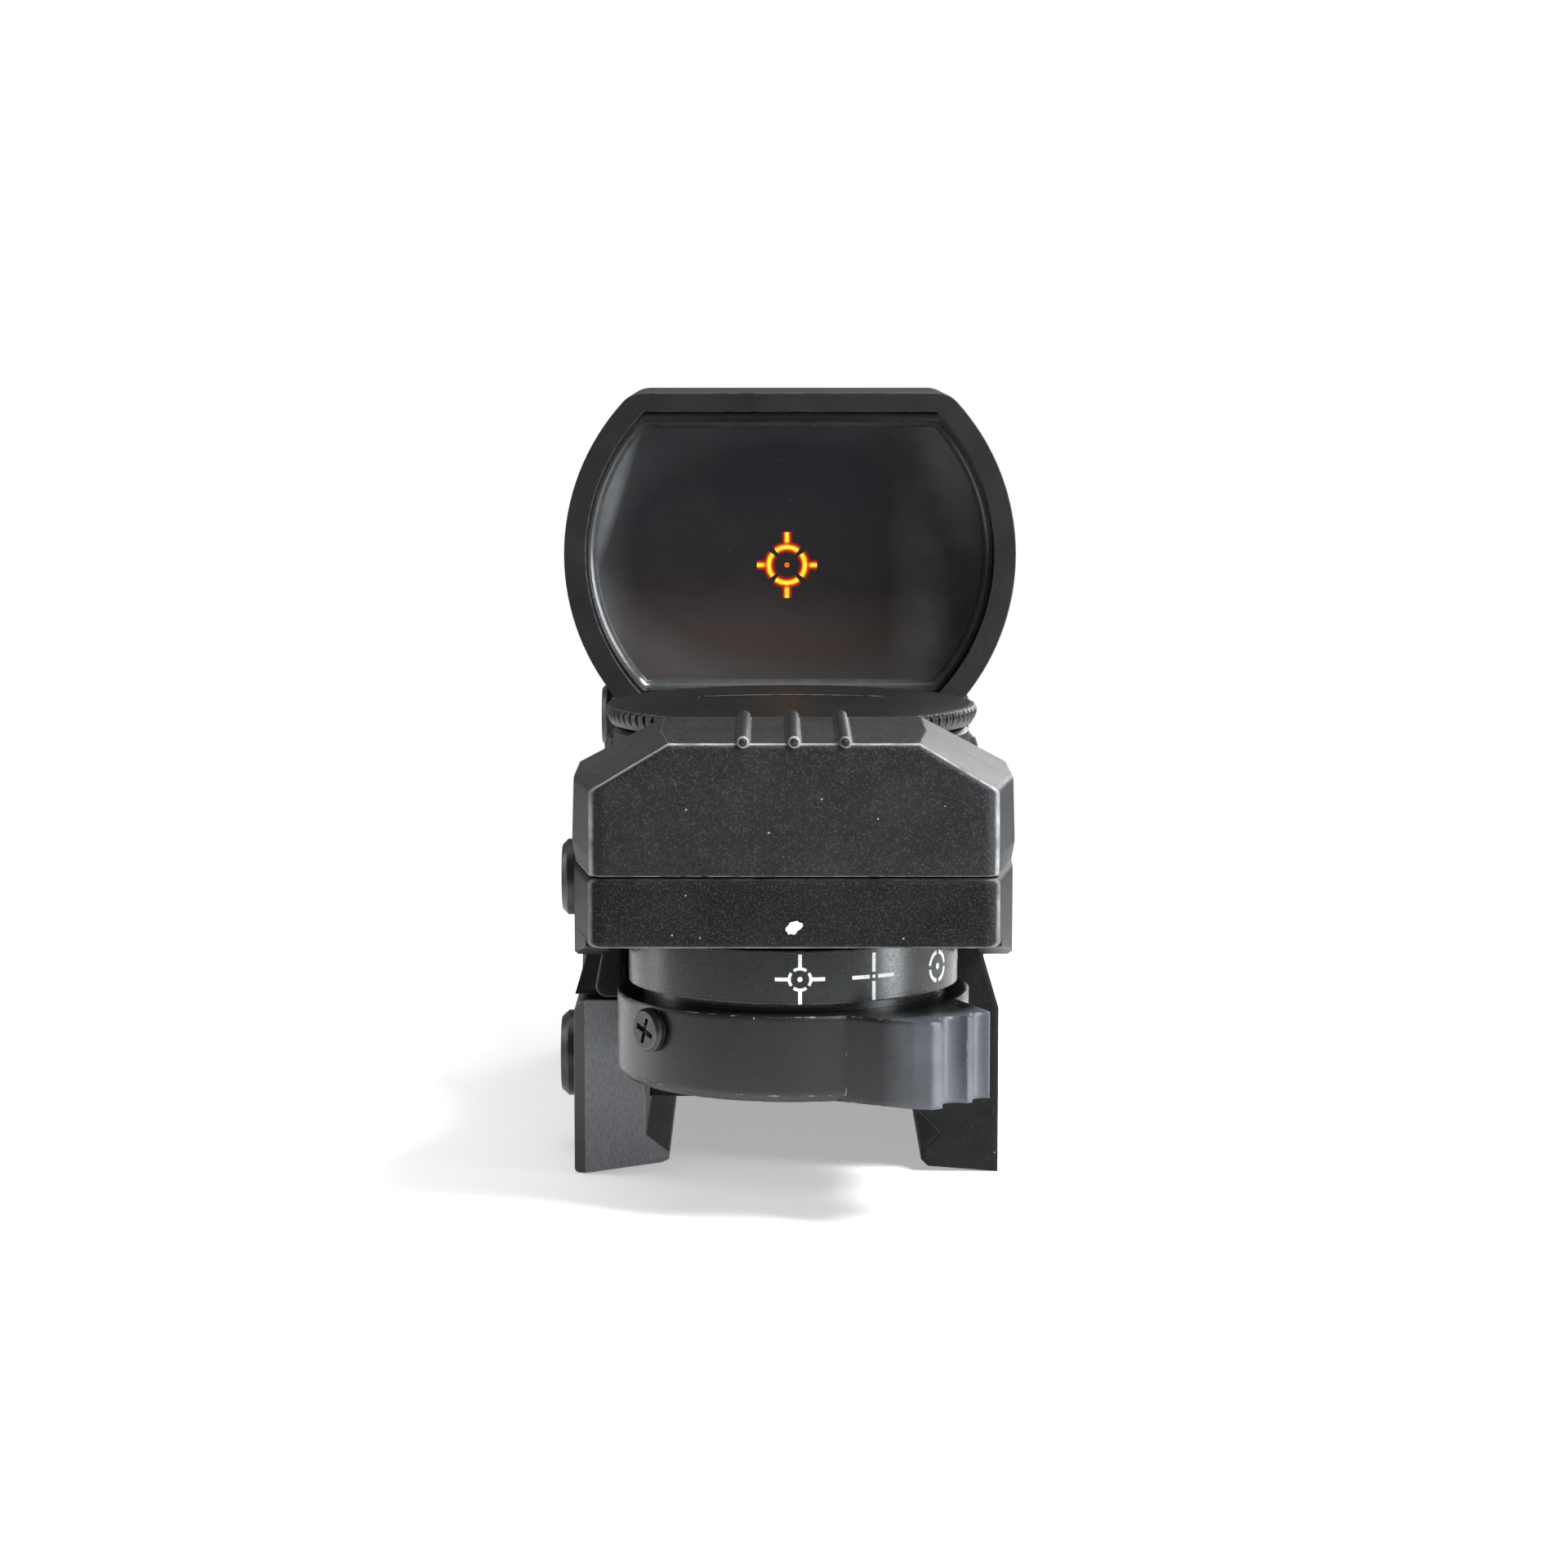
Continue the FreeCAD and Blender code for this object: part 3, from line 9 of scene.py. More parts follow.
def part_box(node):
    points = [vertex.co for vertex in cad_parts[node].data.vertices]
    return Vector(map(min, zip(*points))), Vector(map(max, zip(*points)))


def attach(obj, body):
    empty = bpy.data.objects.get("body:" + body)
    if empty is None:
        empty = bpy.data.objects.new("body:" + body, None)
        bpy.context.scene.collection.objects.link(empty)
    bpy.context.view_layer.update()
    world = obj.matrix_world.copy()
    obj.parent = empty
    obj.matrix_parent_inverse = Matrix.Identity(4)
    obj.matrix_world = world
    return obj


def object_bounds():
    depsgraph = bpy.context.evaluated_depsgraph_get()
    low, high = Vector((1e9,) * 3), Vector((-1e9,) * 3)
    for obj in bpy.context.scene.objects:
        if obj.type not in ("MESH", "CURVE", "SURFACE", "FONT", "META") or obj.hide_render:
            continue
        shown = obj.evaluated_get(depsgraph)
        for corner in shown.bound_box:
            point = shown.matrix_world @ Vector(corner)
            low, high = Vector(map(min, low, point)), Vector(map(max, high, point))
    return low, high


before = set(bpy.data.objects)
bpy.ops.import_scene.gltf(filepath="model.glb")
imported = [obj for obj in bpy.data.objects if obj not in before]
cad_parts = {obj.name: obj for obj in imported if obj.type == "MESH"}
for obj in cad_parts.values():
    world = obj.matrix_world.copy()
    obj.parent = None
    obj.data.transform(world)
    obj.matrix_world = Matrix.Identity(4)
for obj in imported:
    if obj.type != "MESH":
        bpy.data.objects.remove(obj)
cad_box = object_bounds()

MM = 0.001

# A grey for the thin edge line: partly wear, partly a painted highlight.
WEAR_AND_HIGHLIGHT_GREY = (0.3, 0.3, 0.31)
# A bluish grey painted on the lever's tab: a painted sheen.
SHEEN_GREY = (0.072, 0.078, 0.09)
# A grey for a painted highlight line round the rear faces.
OUTLINE_HIGHLIGHT = (0.3, 0.3, 0.3)
DUST = (0.5, 0.49, 0.47)


def middle_of(name):
    """The middle of a node's box."""
    low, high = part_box(name)
    return tuple((a + b) / 2 for a, b in zip(low, high))


drum_low, drum_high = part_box("reticle_drum")
DRUM_X, DRUM_Y, _ = middle_of("reticle_drum")
DRUM_R = (drum_high[0] - drum_low[0]) / 2
LID_X, LID_Y, _ = middle_of("battery_lid")
LENS_PIVOT = Vector(middle_of("lens_pivot_pins"))
LENS_TILT = math.radians(7)
LENS_CURVE = 120 * MM


# ---------------------------------------------------------------- shader helpers


class Shader:
    """A node material with short calls for the nodes that the finishes share."""

    def __init__(self, name):
        self.material = bpy.data.materials.new(name)
        self.material.use_nodes = True
        self.tree = self.material.node_tree
        self.bsdf = self.tree.nodes["Principled BSDF"]
        self.place = self.new("ShaderNodeTexCoord").outputs["Object"]

    def new(self, kind, **settings):
        node = self.tree.nodes.new(kind)
        for key, value in settings.items():
            setattr(node, key, value)
        return node

    def link(self, source, target):
        self.tree.links.new(source, target)

    def put(self, target, value):
        """Sets a socket to a number or a colour, or links an output to it."""
        if isinstance(value, bpy.types.NodeSocket):
            self.link(value, target)
        else:
            target.default_value = value

    def surface(self, inputs):
        """Sets or links inputs of the surface shader, given by name, and returns the finished material."""
        for name, value in inputs.items():
            self.put(self.bsdf.inputs[name], value)
        return self.material

    def math(self, operation, a, b=0.0):
        node = self.new("ShaderNodeMath", operation=operation)
        self.put(node.inputs[0], a)
        self.put(node.inputs[1], b)
        return node.outputs[0]

    def times(self, a, b):
        return self.math("MULTIPLY", a, b)

    def xyz(self, vector=None):
        """The three parts of a vector, or else of the place."""
        node = self.new("ShaderNodeSeparateXYZ")
        self.link(vector or self.place, node.inputs[0])
        return node.outputs

    def length(self, vector):
        node = self.new("ShaderNodeVectorMath", operation="LENGTH")
        self.link(vector, node.inputs[0])
        return node.outputs["Value"]

    def from_axis(self, x, y):
        """How far each point is from an upright axis, in metres."""
        place = self.xyz()
        across = self.math("SUBTRACT", place[0], x)
        along = self.math("SUBTRACT", place[1], y)
        return self.math("SQRT", self.math("ADD", self.times(across, across), self.times(along, along)))

    def stretched(self, scale, origin=(0, 0, 0)):
        """The place as measured from an origin, with each direction scaled."""
        node = self.new("ShaderNodeMapping")
        self.link(self.place, node.inputs["Vector"])
        node.inputs["Location"].default_value = [-o * s for o, s in zip(origin, scale)]
        node.inputs["Scale"].default_value = scale
        return node.outputs[0]

    def noise(self, size, detail=3.0, vector=None, rough=0.55):
        """Noise whose features are about size metres across, at the place or at another vector in metres."""
        node = self.new("ShaderNodeTexNoise")
        self.link(vector or self.place, node.inputs["Vector"])
        node.inputs["Scale"].default_value = 1 / size
        node.inputs["Detail"].default_value = detail
        node.inputs["Roughness"].default_value = rough
        return node.outputs["Fac"]

    def ramp(self, value, *stops):
        """A colour that changes with value: each stop is where it lies and its colour."""
        node = self.new("ShaderNodeValToRGB")
        self.link(value, node.inputs[0])
        while len(node.color_ramp.elements) < len(stops):
            node.color_ramp.elements.new(0.5)
        for element, (at, colour) in zip(node.color_ramp.elements, stops):
            element.position = at
            element.color = (*colour, 1)
        return node.outputs[0]

    def grey_ramp(self, value, low, high, start=0.0, end=1.0, easing="LINEAR"):
        """Maps value between low and high to start and end, held outside them."""
        node = self.new("ShaderNodeMapRange", interpolation_type=easing)
        self.put(node.inputs["Value"], value)
        for key, number in zip(("From Min", "From Max", "To Min", "To Max"), (low, high, start, end)):
            node.inputs[key].default_value = number
        return node.outputs["Result"]

    def mix(self, factor, a, b):
        node = self.new("ShaderNodeMix", data_type="RGBA")
        self.put(node.inputs["Factor"], factor)
        self.put(node.inputs["A"], a if isinstance(a, bpy.types.NodeSocket) else (*a, 1))
        self.put(node.inputs["B"], b if isinstance(b, bpy.types.NodeSocket) else (*b, 1))
        return node.outputs["Result"]

    def normal(self):
        """The surface's own normal, before any rounding or bump."""
        return self.new("ShaderNodeNewGeometry").outputs["Normal"]

    def rounded(self, radius):
        """The normal as if the edges were rounded to a radius in mm."""
        bevel = self.new("ShaderNodeBevel", samples=6)
        bevel.inputs["Radius"].default_value = radius * MM
        return bevel.outputs[0]

    def edge_line(self):
        """1 in a thin line on every sharp edge, where the rounded normal leans away, and 0 elsewhere."""
        radius = 0.14
        upright, leaning = 0.985, 0.93
        dot = self.new("ShaderNodeVectorMath", operation="DOT_PRODUCT")
        self.link(self.rounded(radius), dot.inputs[0])
        self.link(self.normal(), dot.inputs[1])
        return self.grey_ramp(dot.outputs["Value"], upright, leaning)

    def turned_away(self):
        """1 where a rounding has nearly turned from the rear face to the sides or the top: an outline, where
        a painted highlight line goes.
        """
        rearward = self.times(self.xyz(self.normal())[1], -1)
        not_yet_the_side = self.grey_ramp(rearward, 0.3, 0.4)
        no_more_the_rear = self.grey_ramp(rearward, 0.78, 0.62)
        return self.times(not_yet_the_side, no_more_the_rear)

    def bump(self, height, depth, normal=None):
        node = self.new("ShaderNodeBump")
        node.inputs["Distance"].default_value = depth
        self.link(height, node.inputs["Height"])
        if normal is not None:
            self.link(normal, node.inputs["Normal"])
        return node.outputs[0]

    def specks(self, spacing, share):
        """Rare round specks spacing metres apart; share of them show."""
        node = self.new("ShaderNodeTexVoronoi")
        self.link(self.place, node.inputs["Vector"])
        node.inputs["Scale"].default_value = 1 / spacing
        radius = 0.07
        near = self.math("LESS_THAN", node.outputs["Distance"], radius)
        lot = self.new("ShaderNodeSeparateColor")
        self.link(node.outputs["Color"], lot.inputs[0])
        return self.times(near, self.math("LESS_THAN", lot.outputs[0], share))

    def dusted(self, body, share):
        """A colour with specks of dust on it."""
        return self.mix(self.times(self.specks(0.9 * MM, share), 0.7), body, DUST)


def black_metal(
    name,
    colour,
    *,
    roughness,
    grain,
    depth,
    speckle,
    edge_wear_and_highlight,
    dust,
    edge=0.15,
    edge_wear_and_highlight_colour=WEAR_AND_HIGHLIGHT_GREY,
    chips=0.35,
    gloss=0.3,
    lines=None,
    lines_depth=0.0,
    where=None,
    outline=0.0,
    painted_sheen=None,
):
    """A blackened metal: cloudy and grainy colour, soft edges lined with wear and a painted highlight, a
    little dust.

    The size and depth of its grain, the depth of its turning lines and the radius of its edges are in mm.
    Speckle, edge_wear_and_highlight, dust and outline say how much of each shows, and chips how broken up
    the edge line is.
    The edge line is partly wear and partly a painted highlight; the outline is a painted highlight line
    round the rear face.
    Where and painted_sheen are functions that give a share: of the grain, and of a painted bluish sheen.
    """
    s = Shader(name)
    cloud = s.noise(4 * MM, 4)
    fine = s.noise(grain * MM, 2, rough=0.7)
    dark = tuple(c * 0.7 for c in colour)
    pale = tuple(c * 1.3 for c in colour)
    bright = tuple(min(1, c * 2 + speckle * 0.09) for c in colour)
    body = s.mix(s.grey_ramp(cloud, 0.3, 0.7), dark, pale)
    grains = s.grey_ramp(fine, 0.52, 0.74, 0.0, speckle)
    if where is not None:
        grains = s.times(grains, where(s))
    body = s.mix(grains, body, bright)
    # A thin line on the edges, broken up: partly wear, partly a painted highlight.
    gaps = s.grey_ramp(s.noise(0.9 * MM, 3), chips, chips + 0.2, 0.7 - 2 * chips, 1.0)
    wear_and_highlight_line = s.times(s.edge_line(), gaps)
    body = s.mix(s.times(wear_and_highlight_line, edge_wear_and_highlight), body, edge_wear_and_highlight_colour)
    # A painted sheen: a bluish grey mixed in where the share asks.
    if painted_sheen is not None:
        patchy = s.grey_ramp(cloud, 0.3, 0.6, 0.55, 1.0)
        body = s.mix(s.times(painted_sheen(s), patchy), body, SHEEN_GREY)
    # A painted highlight line where the rounding turns away from the rear face.
    if outline:
        broken = s.grey_ramp(s.noise(1.5 * MM, 4), 0.35, 0.6, 0.4 * outline, outline)
        body = s.mix(s.times(s.turned_away(), broken), body, OUTLINE_HIGHLIGHT)
    rough = s.grey_ramp(fine, 0.25, 0.75, roughness - 0.1, roughness + 0.06)
    relief = s.bump(fine, depth * MM, s.rounded(edge))
    if lines is not None:
        relief = s.bump(lines(s), lines_depth * MM, relief)
    return s.surface({
        "Base Color": s.dusted(body, dust),
        "Roughness": s.math("ADD", rough, s.times(cloud, 0.08)),
        "Normal": relief,
        "Specular IOR Level": gloss,
    })


def rings_about(x, y, pitch):
    """Turning lines that run round an upright axis: they vary with the distance from it and with height."""

    def lines(s):
        node = s.new("ShaderNodeCombineXYZ")
        s.link(s.from_axis(x, y), node.inputs[0])
        s.link(s.xyz()[2], node.inputs[2])
        return s.noise(pitch, 2, node.outputs[0])

    return lines


def above(low, high, least):
    """A share that rises from least to 1 between two heights in mm."""

    def share(s):
        return s.grey_ramp(s.xyz()[2], low * MM, high * MM, least, 1.0)

    return share


def tab_sheen(s):
    """The lever's tab, which stands out beyond its ring: a bluish grey is painted on it as a painted sheen.
    """
    ring, tab = 14.2 * MM, 15.6 * MM
    return s.grey_ramp(s.from_axis(DRUM_X, DRUM_Y), ring, tab)


# ---------------------------------------------------------------- finishes

# The casting's grain is coarse only on its rear block, whose underside lies between 18.5 and 19.3 mm.
CAST = black_metal(
    "cast_rough",
    (0.008, 0.008, 0.008),
    roughness=0.45,
    grain=0.14,
    depth=0.05,
    speckle=0.62,
    edge_wear_and_highlight=0.5,
    dust=0.07,
    edge=0.6,
    edge_wear_and_highlight_colour=(0.16, 0.16, 0.17),
    gloss=0.1,
    where=above(18.5, 19.3, 0.25),
    # the outline is a painted highlight line
    outline=0.55,
)
CAP = black_metal(
    "cap_fine",
    (0.0115, 0.012, 0.0128),
    roughness=0.42,
    grain=0.13,
    depth=0.05,
    speckle=0.6,
    edge_wear_and_highlight=0.8,
    dust=0.16,
    edge=0.3,
    edge_wear_and_highlight_colour=(0.3, 0.3, 0.3),
    gloss=0.2,
    # the outline is a painted highlight line
    outline=0.9,
)
HOOD = black_metal(
    "hood_satin",
    (0.009, 0.009, 0.009),
    roughness=0.46,
    grain=0.12,
    depth=0.009,
    speckle=0.15,
    edge_wear_and_highlight=0.25,
    dust=0.01,
)
DRUM = black_metal(
    "drum_satin",
    (0.004, 0.005, 0.006),
    roughness=0.26,
    grain=0.2,
    depth=0.002,
    speckle=0.1,
    edge_wear_and_highlight=0.3,
    dust=0.03,
    gloss=0.55,
    lines=rings_about(DRUM_X, DRUM_Y, 0.12 * MM),
    lines_depth=0.006,
)
LEVER = black_metal(
    "lever_satin",
    (0.006, 0.006, 0.006),
    roughness=0.3,
    grain=0.2,
    depth=0.003,
    speckle=0.1,
    edge_wear_and_highlight=1.0,
    dust=0.05,
    edge=0.5,
    edge_wear_and_highlight_colour=(0.6, 0.6, 0.6),
    chips=0.5,
    gloss=0.42,
    lines=rings_about(DRUM_X, DRUM_Y, 0.15 * MM),
    lines_depth=0.006,
    # a painted sheen on the tab
    painted_sheen=tab_sheen,
)
DIAL = black_metal(
    "dial_satin",
    (0.010, 0.010, 0.010),
    roughness=0.42,
    grain=0.14,
    depth=0.008,
    speckle=0.3,
    edge_wear_and_highlight=0.3,
    dust=0.03,
)
LID = black_metal(
    "lid_turned",
    (0.005, 0.005, 0.005),
    roughness=0.4,
    grain=0.14,
    depth=0.006,
    speckle=0.2,
    edge_wear_and_highlight=0.35,
    dust=0.04,
    lines=rings_about(LID_X, LID_Y, 0.14 * MM),
    lines_depth=0.008,
)
SCREW = black_metal(
    "screw_black",
    (0.010, 0.010, 0.009),
    roughness=0.35,
    grain=0.1,
    depth=0.006,
    speckle=0.3,
    edge_wear_and_highlight=0.6,
    dust=0.03,
    gloss=0.45,
)
CELL_RING = black_metal(
    "cell_ring",
    (0.006, 0.006, 0.006),
    roughness=0.3,
    grain=0.12,
    depth=0.004,
    speckle=0.1,
    edge_wear_and_highlight=0.2,
    dust=0.0,
    edge=0.45,
    gloss=0.6,
)


def milled_jaw():
    """The clamp plate: black on its long sides, and paler and bluish where its ends were milled."""
    s = Shader("jaw_milled")
    cloud = s.noise(3 * MM, 4)
    strokes = s.noise(0.12 * MM, 3, s.stretched((1, 0.15, 0.3)))
    end = s.grey_ramp(s.math("ABSOLUTE", s.xyz(s.normal())[1]), 0.9, 0.98)
    side = s.mix(cloud, (0.007, 0.007, 0.008), (0.013, 0.013, 0.014))
    milled = s.mix(cloud, (0.085, 0.088, 0.096), (0.12, 0.123, 0.133))
    milled = s.mix(s.grey_ramp(strokes, 0.35, 0.7), milled, (0.16, 0.163, 0.172))
    body = s.mix(end, side, milled)
    # A thin line on the edges, broken up: partly wear, partly a painted highlight.
    gaps = s.grey_ramp(s.noise(0.8 * MM, 3), 0.35, 0.65, 0.1, 0.6)
    body = s.mix(s.times(s.edge_line(), gaps), body, WEAR_AND_HIGHLIGHT_GREY)
    return s.surface({
        "Base Color": s.dusted(body, 0.05),
        "Roughness": s.grey_ramp(strokes, 0.2, 0.8, 0.3, 0.46),
        "Normal": s.bump(strokes, 0.012 * MM, s.rounded(0.2)),
        "Specular IOR Level": 0.35,
    })


def plain_metal(name, colour, roughness, lines=None):
    """A bare metal, slightly cloudy, with fine scratches or turning lines."""
    s = Shader(name)
    cloud = s.noise(1.5 * MM, 4)
    dull = tuple(c * 0.72 for c in colour)
    fine = lines(s) if lines else s.noise(0.12 * MM, 3)
    return s.surface({
        "Base Color": s.mix(s.grey_ramp(cloud, 0.3, 0.7), dull, colour),
        "Metallic": 1.0,
        "Roughness": s.grey_ramp(fine, 0.2, 0.8, roughness - 0.06, roughness + 0.12),
        "Normal": s.bump(fine, 0.003 * MM, s.rounded(0.08)),
    })


def plain_plastic(name, colour, roughness, bumps=0.01):
    """A moulded plastic or rubber, with bumps of a depth in mm."""
    s = Shader(name)
    cloud = s.noise(1.2 * MM, 4)
    pale = tuple(min(1, c * 1.35 + 0.004) for c in colour)
    fine = s.noise(0.15 * MM, 3)
    return s.surface({
        "Base Color": s.mix(s.grey_ramp(cloud, 0.3, 0.7), colour, pale),
        "Roughness": s.grey_ramp(fine, 0.2, 0.8, roughness - 0.08, roughness + 0.08),
        "Normal": s.bump(fine, bumps * MM, s.rounded(0.1)),
    })


JAW = milled_jaw()
STEEL = plain_metal("bright_steel", (0.62, 0.62, 0.63), 0.28)
PIN = plain_metal("dull_pin", (0.2, 0.2, 0.205), 0.5)
BRASS = plain_metal("plated_brass", (0.78, 0.6, 0.3), 0.3)
CELL = plain_metal("cell_steel", (0.7, 0.7, 0.71), 0.22, rings_about(LID_X, LID_Y, 0.1 * MM))
RUBBER = plain_plastic("seal_rubber", (0.015, 0.015, 0.015), 0.7)
SLED = plain_plastic("sled_plastic", (0.03, 0.03, 0.032), 0.5)
BOARD = plain_plastic("switch_board", (0.015, 0.11, 0.045), 0.4, 0.004)
LED = plain_plastic("led_resin", (0.6, 0.03, 0.02), 0.2, 0.002)
SEALANT = plain_plastic("lens_sealant", (0.035, 0.035, 0.036), 0.2, 0.001)


def lens_glass():
    """The coated lens: nearly black, brownish low down, with painted reflections of the lights towards its
    edges and at the upper left, a few smudges and fine dust.
    """
    s = Shader("lens_coating")
    low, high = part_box("objective_lens")
    x, _, z = s.xyz()
    wave = s.times(s.math("SUBTRACT", s.noise(9 * MM, 2), 0.5), 0.12)
    colour = s.ramp(
        s.math("ADD", s.grey_ramp(z, low[2], high[2]), wave),
        (0.0, (0.044, 0.034, 0.032)),
        (0.2, (0.038, 0.029, 0.028)),
        (0.38, (0.018, 0.016, 0.017)),
        (0.75, (0.018, 0.018, 0.021)),
        (1.0, (0.028, 0.029, 0.032)),
    )
    half_width, half_height = 16.4 * MM, 11.0 * MM
    out = s.length(s.stretched((1 / half_width, 0, 1 / half_height), middle_of("objective_lens")))
    patch = s.grey_ramp(s.noise(7 * MM, 3), 0.3, 0.6, 0.35, 0.9)
    # Painted reflections of the lights round the rim, strongest at the left and right edges.
    sideways = s.ramp(
        s.grey_ramp(x, low[0], high[0]),
        (0.0, (1, 1, 1)),
        (0.12, (0.25, 0.25, 0.25)),
        (0.78, (0.2, 0.2, 0.2)),
        (0.92, (0.9, 0.9, 0.9)),
    )
    rim_reflection = s.times(s.times(s.grey_ramp(out, 0.78, 1.02), patch), sideways)
    colour = s.mix(rim_reflection, colour, (0.13, 0.137, 0.14))
    # A painted reflection over the right part of the lens.
    right_reflection = s.times(s.grey_ramp(x, 8 * MM, 12.5 * MM, 0.0, 0.8), patch)
    colour = s.mix(right_reflection, colour, (0.11, 0.115, 0.12))
    # A painted reflection: a streak with a straight slanted edge, high on the left.
    slant = s.math("SUBTRACT", x, s.times(z, 0.31))
    left_of_slant = s.grey_ramp(slant, -28.5 * MM, -27.8 * MM, 0.9, 0.0)
    reflected_streak = s.times(left_of_slant, s.grey_ramp(z, 36 * MM, 43 * MM))
    colour = s.mix(s.times(reflected_streak, patch), colour, (0.2, 0.208, 0.212))
    smudge = s.grey_ramp(s.noise(5 * MM, 5, rough=0.7), 0.45, 0.8)
    colour = s.mix(s.times(smudge, 0.12), colour, (0.07, 0.06, 0.055))
    colour = s.mix(s.times(s.specks(0.7 * MM, 0.06), 0.14), colour, (0.5, 0.48, 0.46))
    return s.surface({
        "Base Color": colour,
        "Roughness": s.math("ADD", s.times(smudge, 0.1), 0.07),
        "Specular IOR Level": 0.22,
        "Coat Weight": 0.08,
        "Coat Roughness": 0.03,
        "Coat Tint": (1.0, 0.86, 0.8, 1),
    })


def clear_glass():
    """The window in the front of the cover."""
    s = Shader("window_glass")
    return s.surface({
        "Base Color": (0.86, 0.9, 0.9, 1),
        "Transmission Weight": 0.9,
        "IOR": 1.5,
        "Roughness": s.times(s.noise(0.8 * MM, 4), 0.09),
    })


FINISHES = {
    CAST: ["base_body"],
    CAP: ["emitter_cap"],
    HOOD: ["lens_hood"],
    CELL_RING: ["lens_cell"],
    DRUM: ["reticle_drum"],
    LEVER: ["selector_lever"],
    DIAL: ["brightness_dial"],
    LID: ["battery_lid"],
    JAW: ["clamp_plate"],
    SCREW: [
        "clamp_screw_front",
        "clamp_screw_rear",
        "lever_screw",
        "cap_screws",
        "hood_screws",
        "windage_adjuster",
        "elevation_adjuster",
        "dial_screw",
    ],
    STEEL: [
        "windage_clip",
        "drum_clip",
        "drum_detent_ball",
        "drum_detent_spring",
        "dial_detent_ball",
        "dial_detent_spring",
        "dial_washer",
    ],
    PIN: ["lens_pivot_pins"],
    CELL: ["coin_cell"],
    BRASS: ["reticle_sleeve", "switch_wiper", "battery_contact"],
    RUBBER: ["lid_o_ring"],
    SLED: ["emitter_sled"],
    BOARD: ["switch_board"],
    LED: ["emitter_led"],
    lens_glass(): ["objective_lens"],
    clear_glass(): ["emitter_window"],
}

for finish, names in FINISHES.items():
    for name in names:
        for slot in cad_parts[name].material_slots:
            slot.material = finish


# ---------------------------------------------------------------- painted and lit marks


def stroke(points, width):
    """A flat ribbon along 2-D points, as rows of three points: one side, the middle and the other side."""
    rows = []
    for i, point in enumerate(points):
        before, after = points[max(i - 1, 0)], points[min(i + 1, len(points) - 1)]
        run = (Vector(after) - Vector(before)).normalized()
        side = Vector((-run.y, run.x)) * width / 2
        rows.append((Vector(point) - side, Vector(point), Vector(point) + side))
    return rows


def spoke(turn, start, end, width, steps=4):
    """A straight stroke outwards from the drawing's middle, at an angle in degrees."""
    x, y = math.cos(math.radians(turn)), math.sin(math.radians(turn))
    reaches = [start + (end - start) * i / steps for i in range(steps + 1)]
    return stroke([(reach * x, reach * y) for reach in reaches], width)


def arc(radius, start, end, width, steps):
    """A curved stroke round the drawing's middle, between two angles in degrees."""
    angles = [math.radians(start + (end - start) * i / steps) for i in range(steps + 1)]
    return stroke([(radius * math.cos(a), radius * math.sin(a)) for a in angles], width)


def dot(radius):
    """A filled dot, as a ribbon as wide as its radius that closes on itself."""
    return arc(radius / 2, 0, 360, radius, steps=20)


def made(build, name, material, body):
    """Turns a finished bmesh into a piece of one material that rides a body."""
    bmesh.ops.recalc_face_normals(build, faces=build.faces)
    mesh = bpy.data.meshes.new(name)
    build.to_mesh(mesh)
    build.free()
    mesh.materials.append(material)
    piece = bpy.data.objects.new(name, mesh)
    bpy.context.collection.objects.link(piece)
    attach(piece, body)
    return piece


def mark(name, strokes, onto, body, material):
    """Builds flat strokes on a surface: onto(x, y) gives the place in metres of a drawn point in mm."""
    build = bmesh.new()
    across = build.loops.layers.uv.new("across")
    for ribbon in strokes:
        rows = [[build.verts.new(onto(*point)) for point in row] for row in ribbon]
        for row, after in zip(rows, rows[1:]):
            for k in (0, 1):
                face = build.faces.new((row[k], row[k + 1], after[k + 1], after[k]))
                for loop, value in zip(face.loops, (k / 2, (k + 1) / 2, (k + 1) / 2, k / 2)):
                    loop[across].uv = (value, 0.5)
    return made(build, name, material, body)


def white_paint():
    """White paint with small grey flecks where it has thinned with wear."""
    s = Shader("white_paint")
    chips = s.grey_ramp(s.noise(0.12 * MM, 4, rough=0.7), 0.33, 0.42)
    return s.surface({
        "Base Color": s.mix(chips, (0.25, 0.25, 0.25), (0.8, 0.8, 0.78)),
        "Roughness": s.grey_ramp(s.noise(0.1 * MM, 3), 0.2, 0.8, 0.45, 0.7),
        "Normal": s.bump(s.noise(0.08 * MM, 3), 0.01 * MM),
    })


PAINT = white_paint()


def on_drum(angle, height):
    """Wraps a drawing round the drum's band, centred at an angle in degrees and at a height in metres."""
    proud = 0.01 * MM

    def onto(x, y):
        turn = math.radians(angle) + x * MM / DRUM_R
        reach = DRUM_R + proud
        return (DRUM_X + reach * math.cos(turn), DRUM_Y + reach * math.sin(turn), height + y * MM)

    return onto


def drum_marks():
    """The four reticles that the drum offers, about 30 degrees apart, the chosen one at the rear."""
    height = 17.0 * MM
    paint = 0.02 * MM
    width = 0.25
    quarters = (0, 90, 180, 270)
    ticks = [spoke(turn, 0.82, 1.68, width) for turn in quarters]
    cross = [spoke(turn, 0.32, 1.6, width) for turn in quarters]
    small = [arc(0.72, turn - 36, turn + 36, 0.2, 10) for turn in quarters]
    large = [arc(0.98, turn + 8, turn + 82, 0.27, 12) for turn in quarters]
    drawings = {
        "mark_circle_ticks": (-88, ticks + small + [dot(0.17)]),
        "mark_cross": (-62, cross + [dot(0.13)]),
        "mark_ring": (-31, large + [dot(0.22)]),
        "mark_dot": (-1, [dot(0.42)]),
    }
    for name, (angle, strokes) in drawings.items():
        piece = mark(name, strokes, on_drum(angle, height), "selector", PAINT)
        solid = piece.modifiers.new("thickness", "SOLIDIFY")
        solid.thickness = paint
        solid.offset = 0


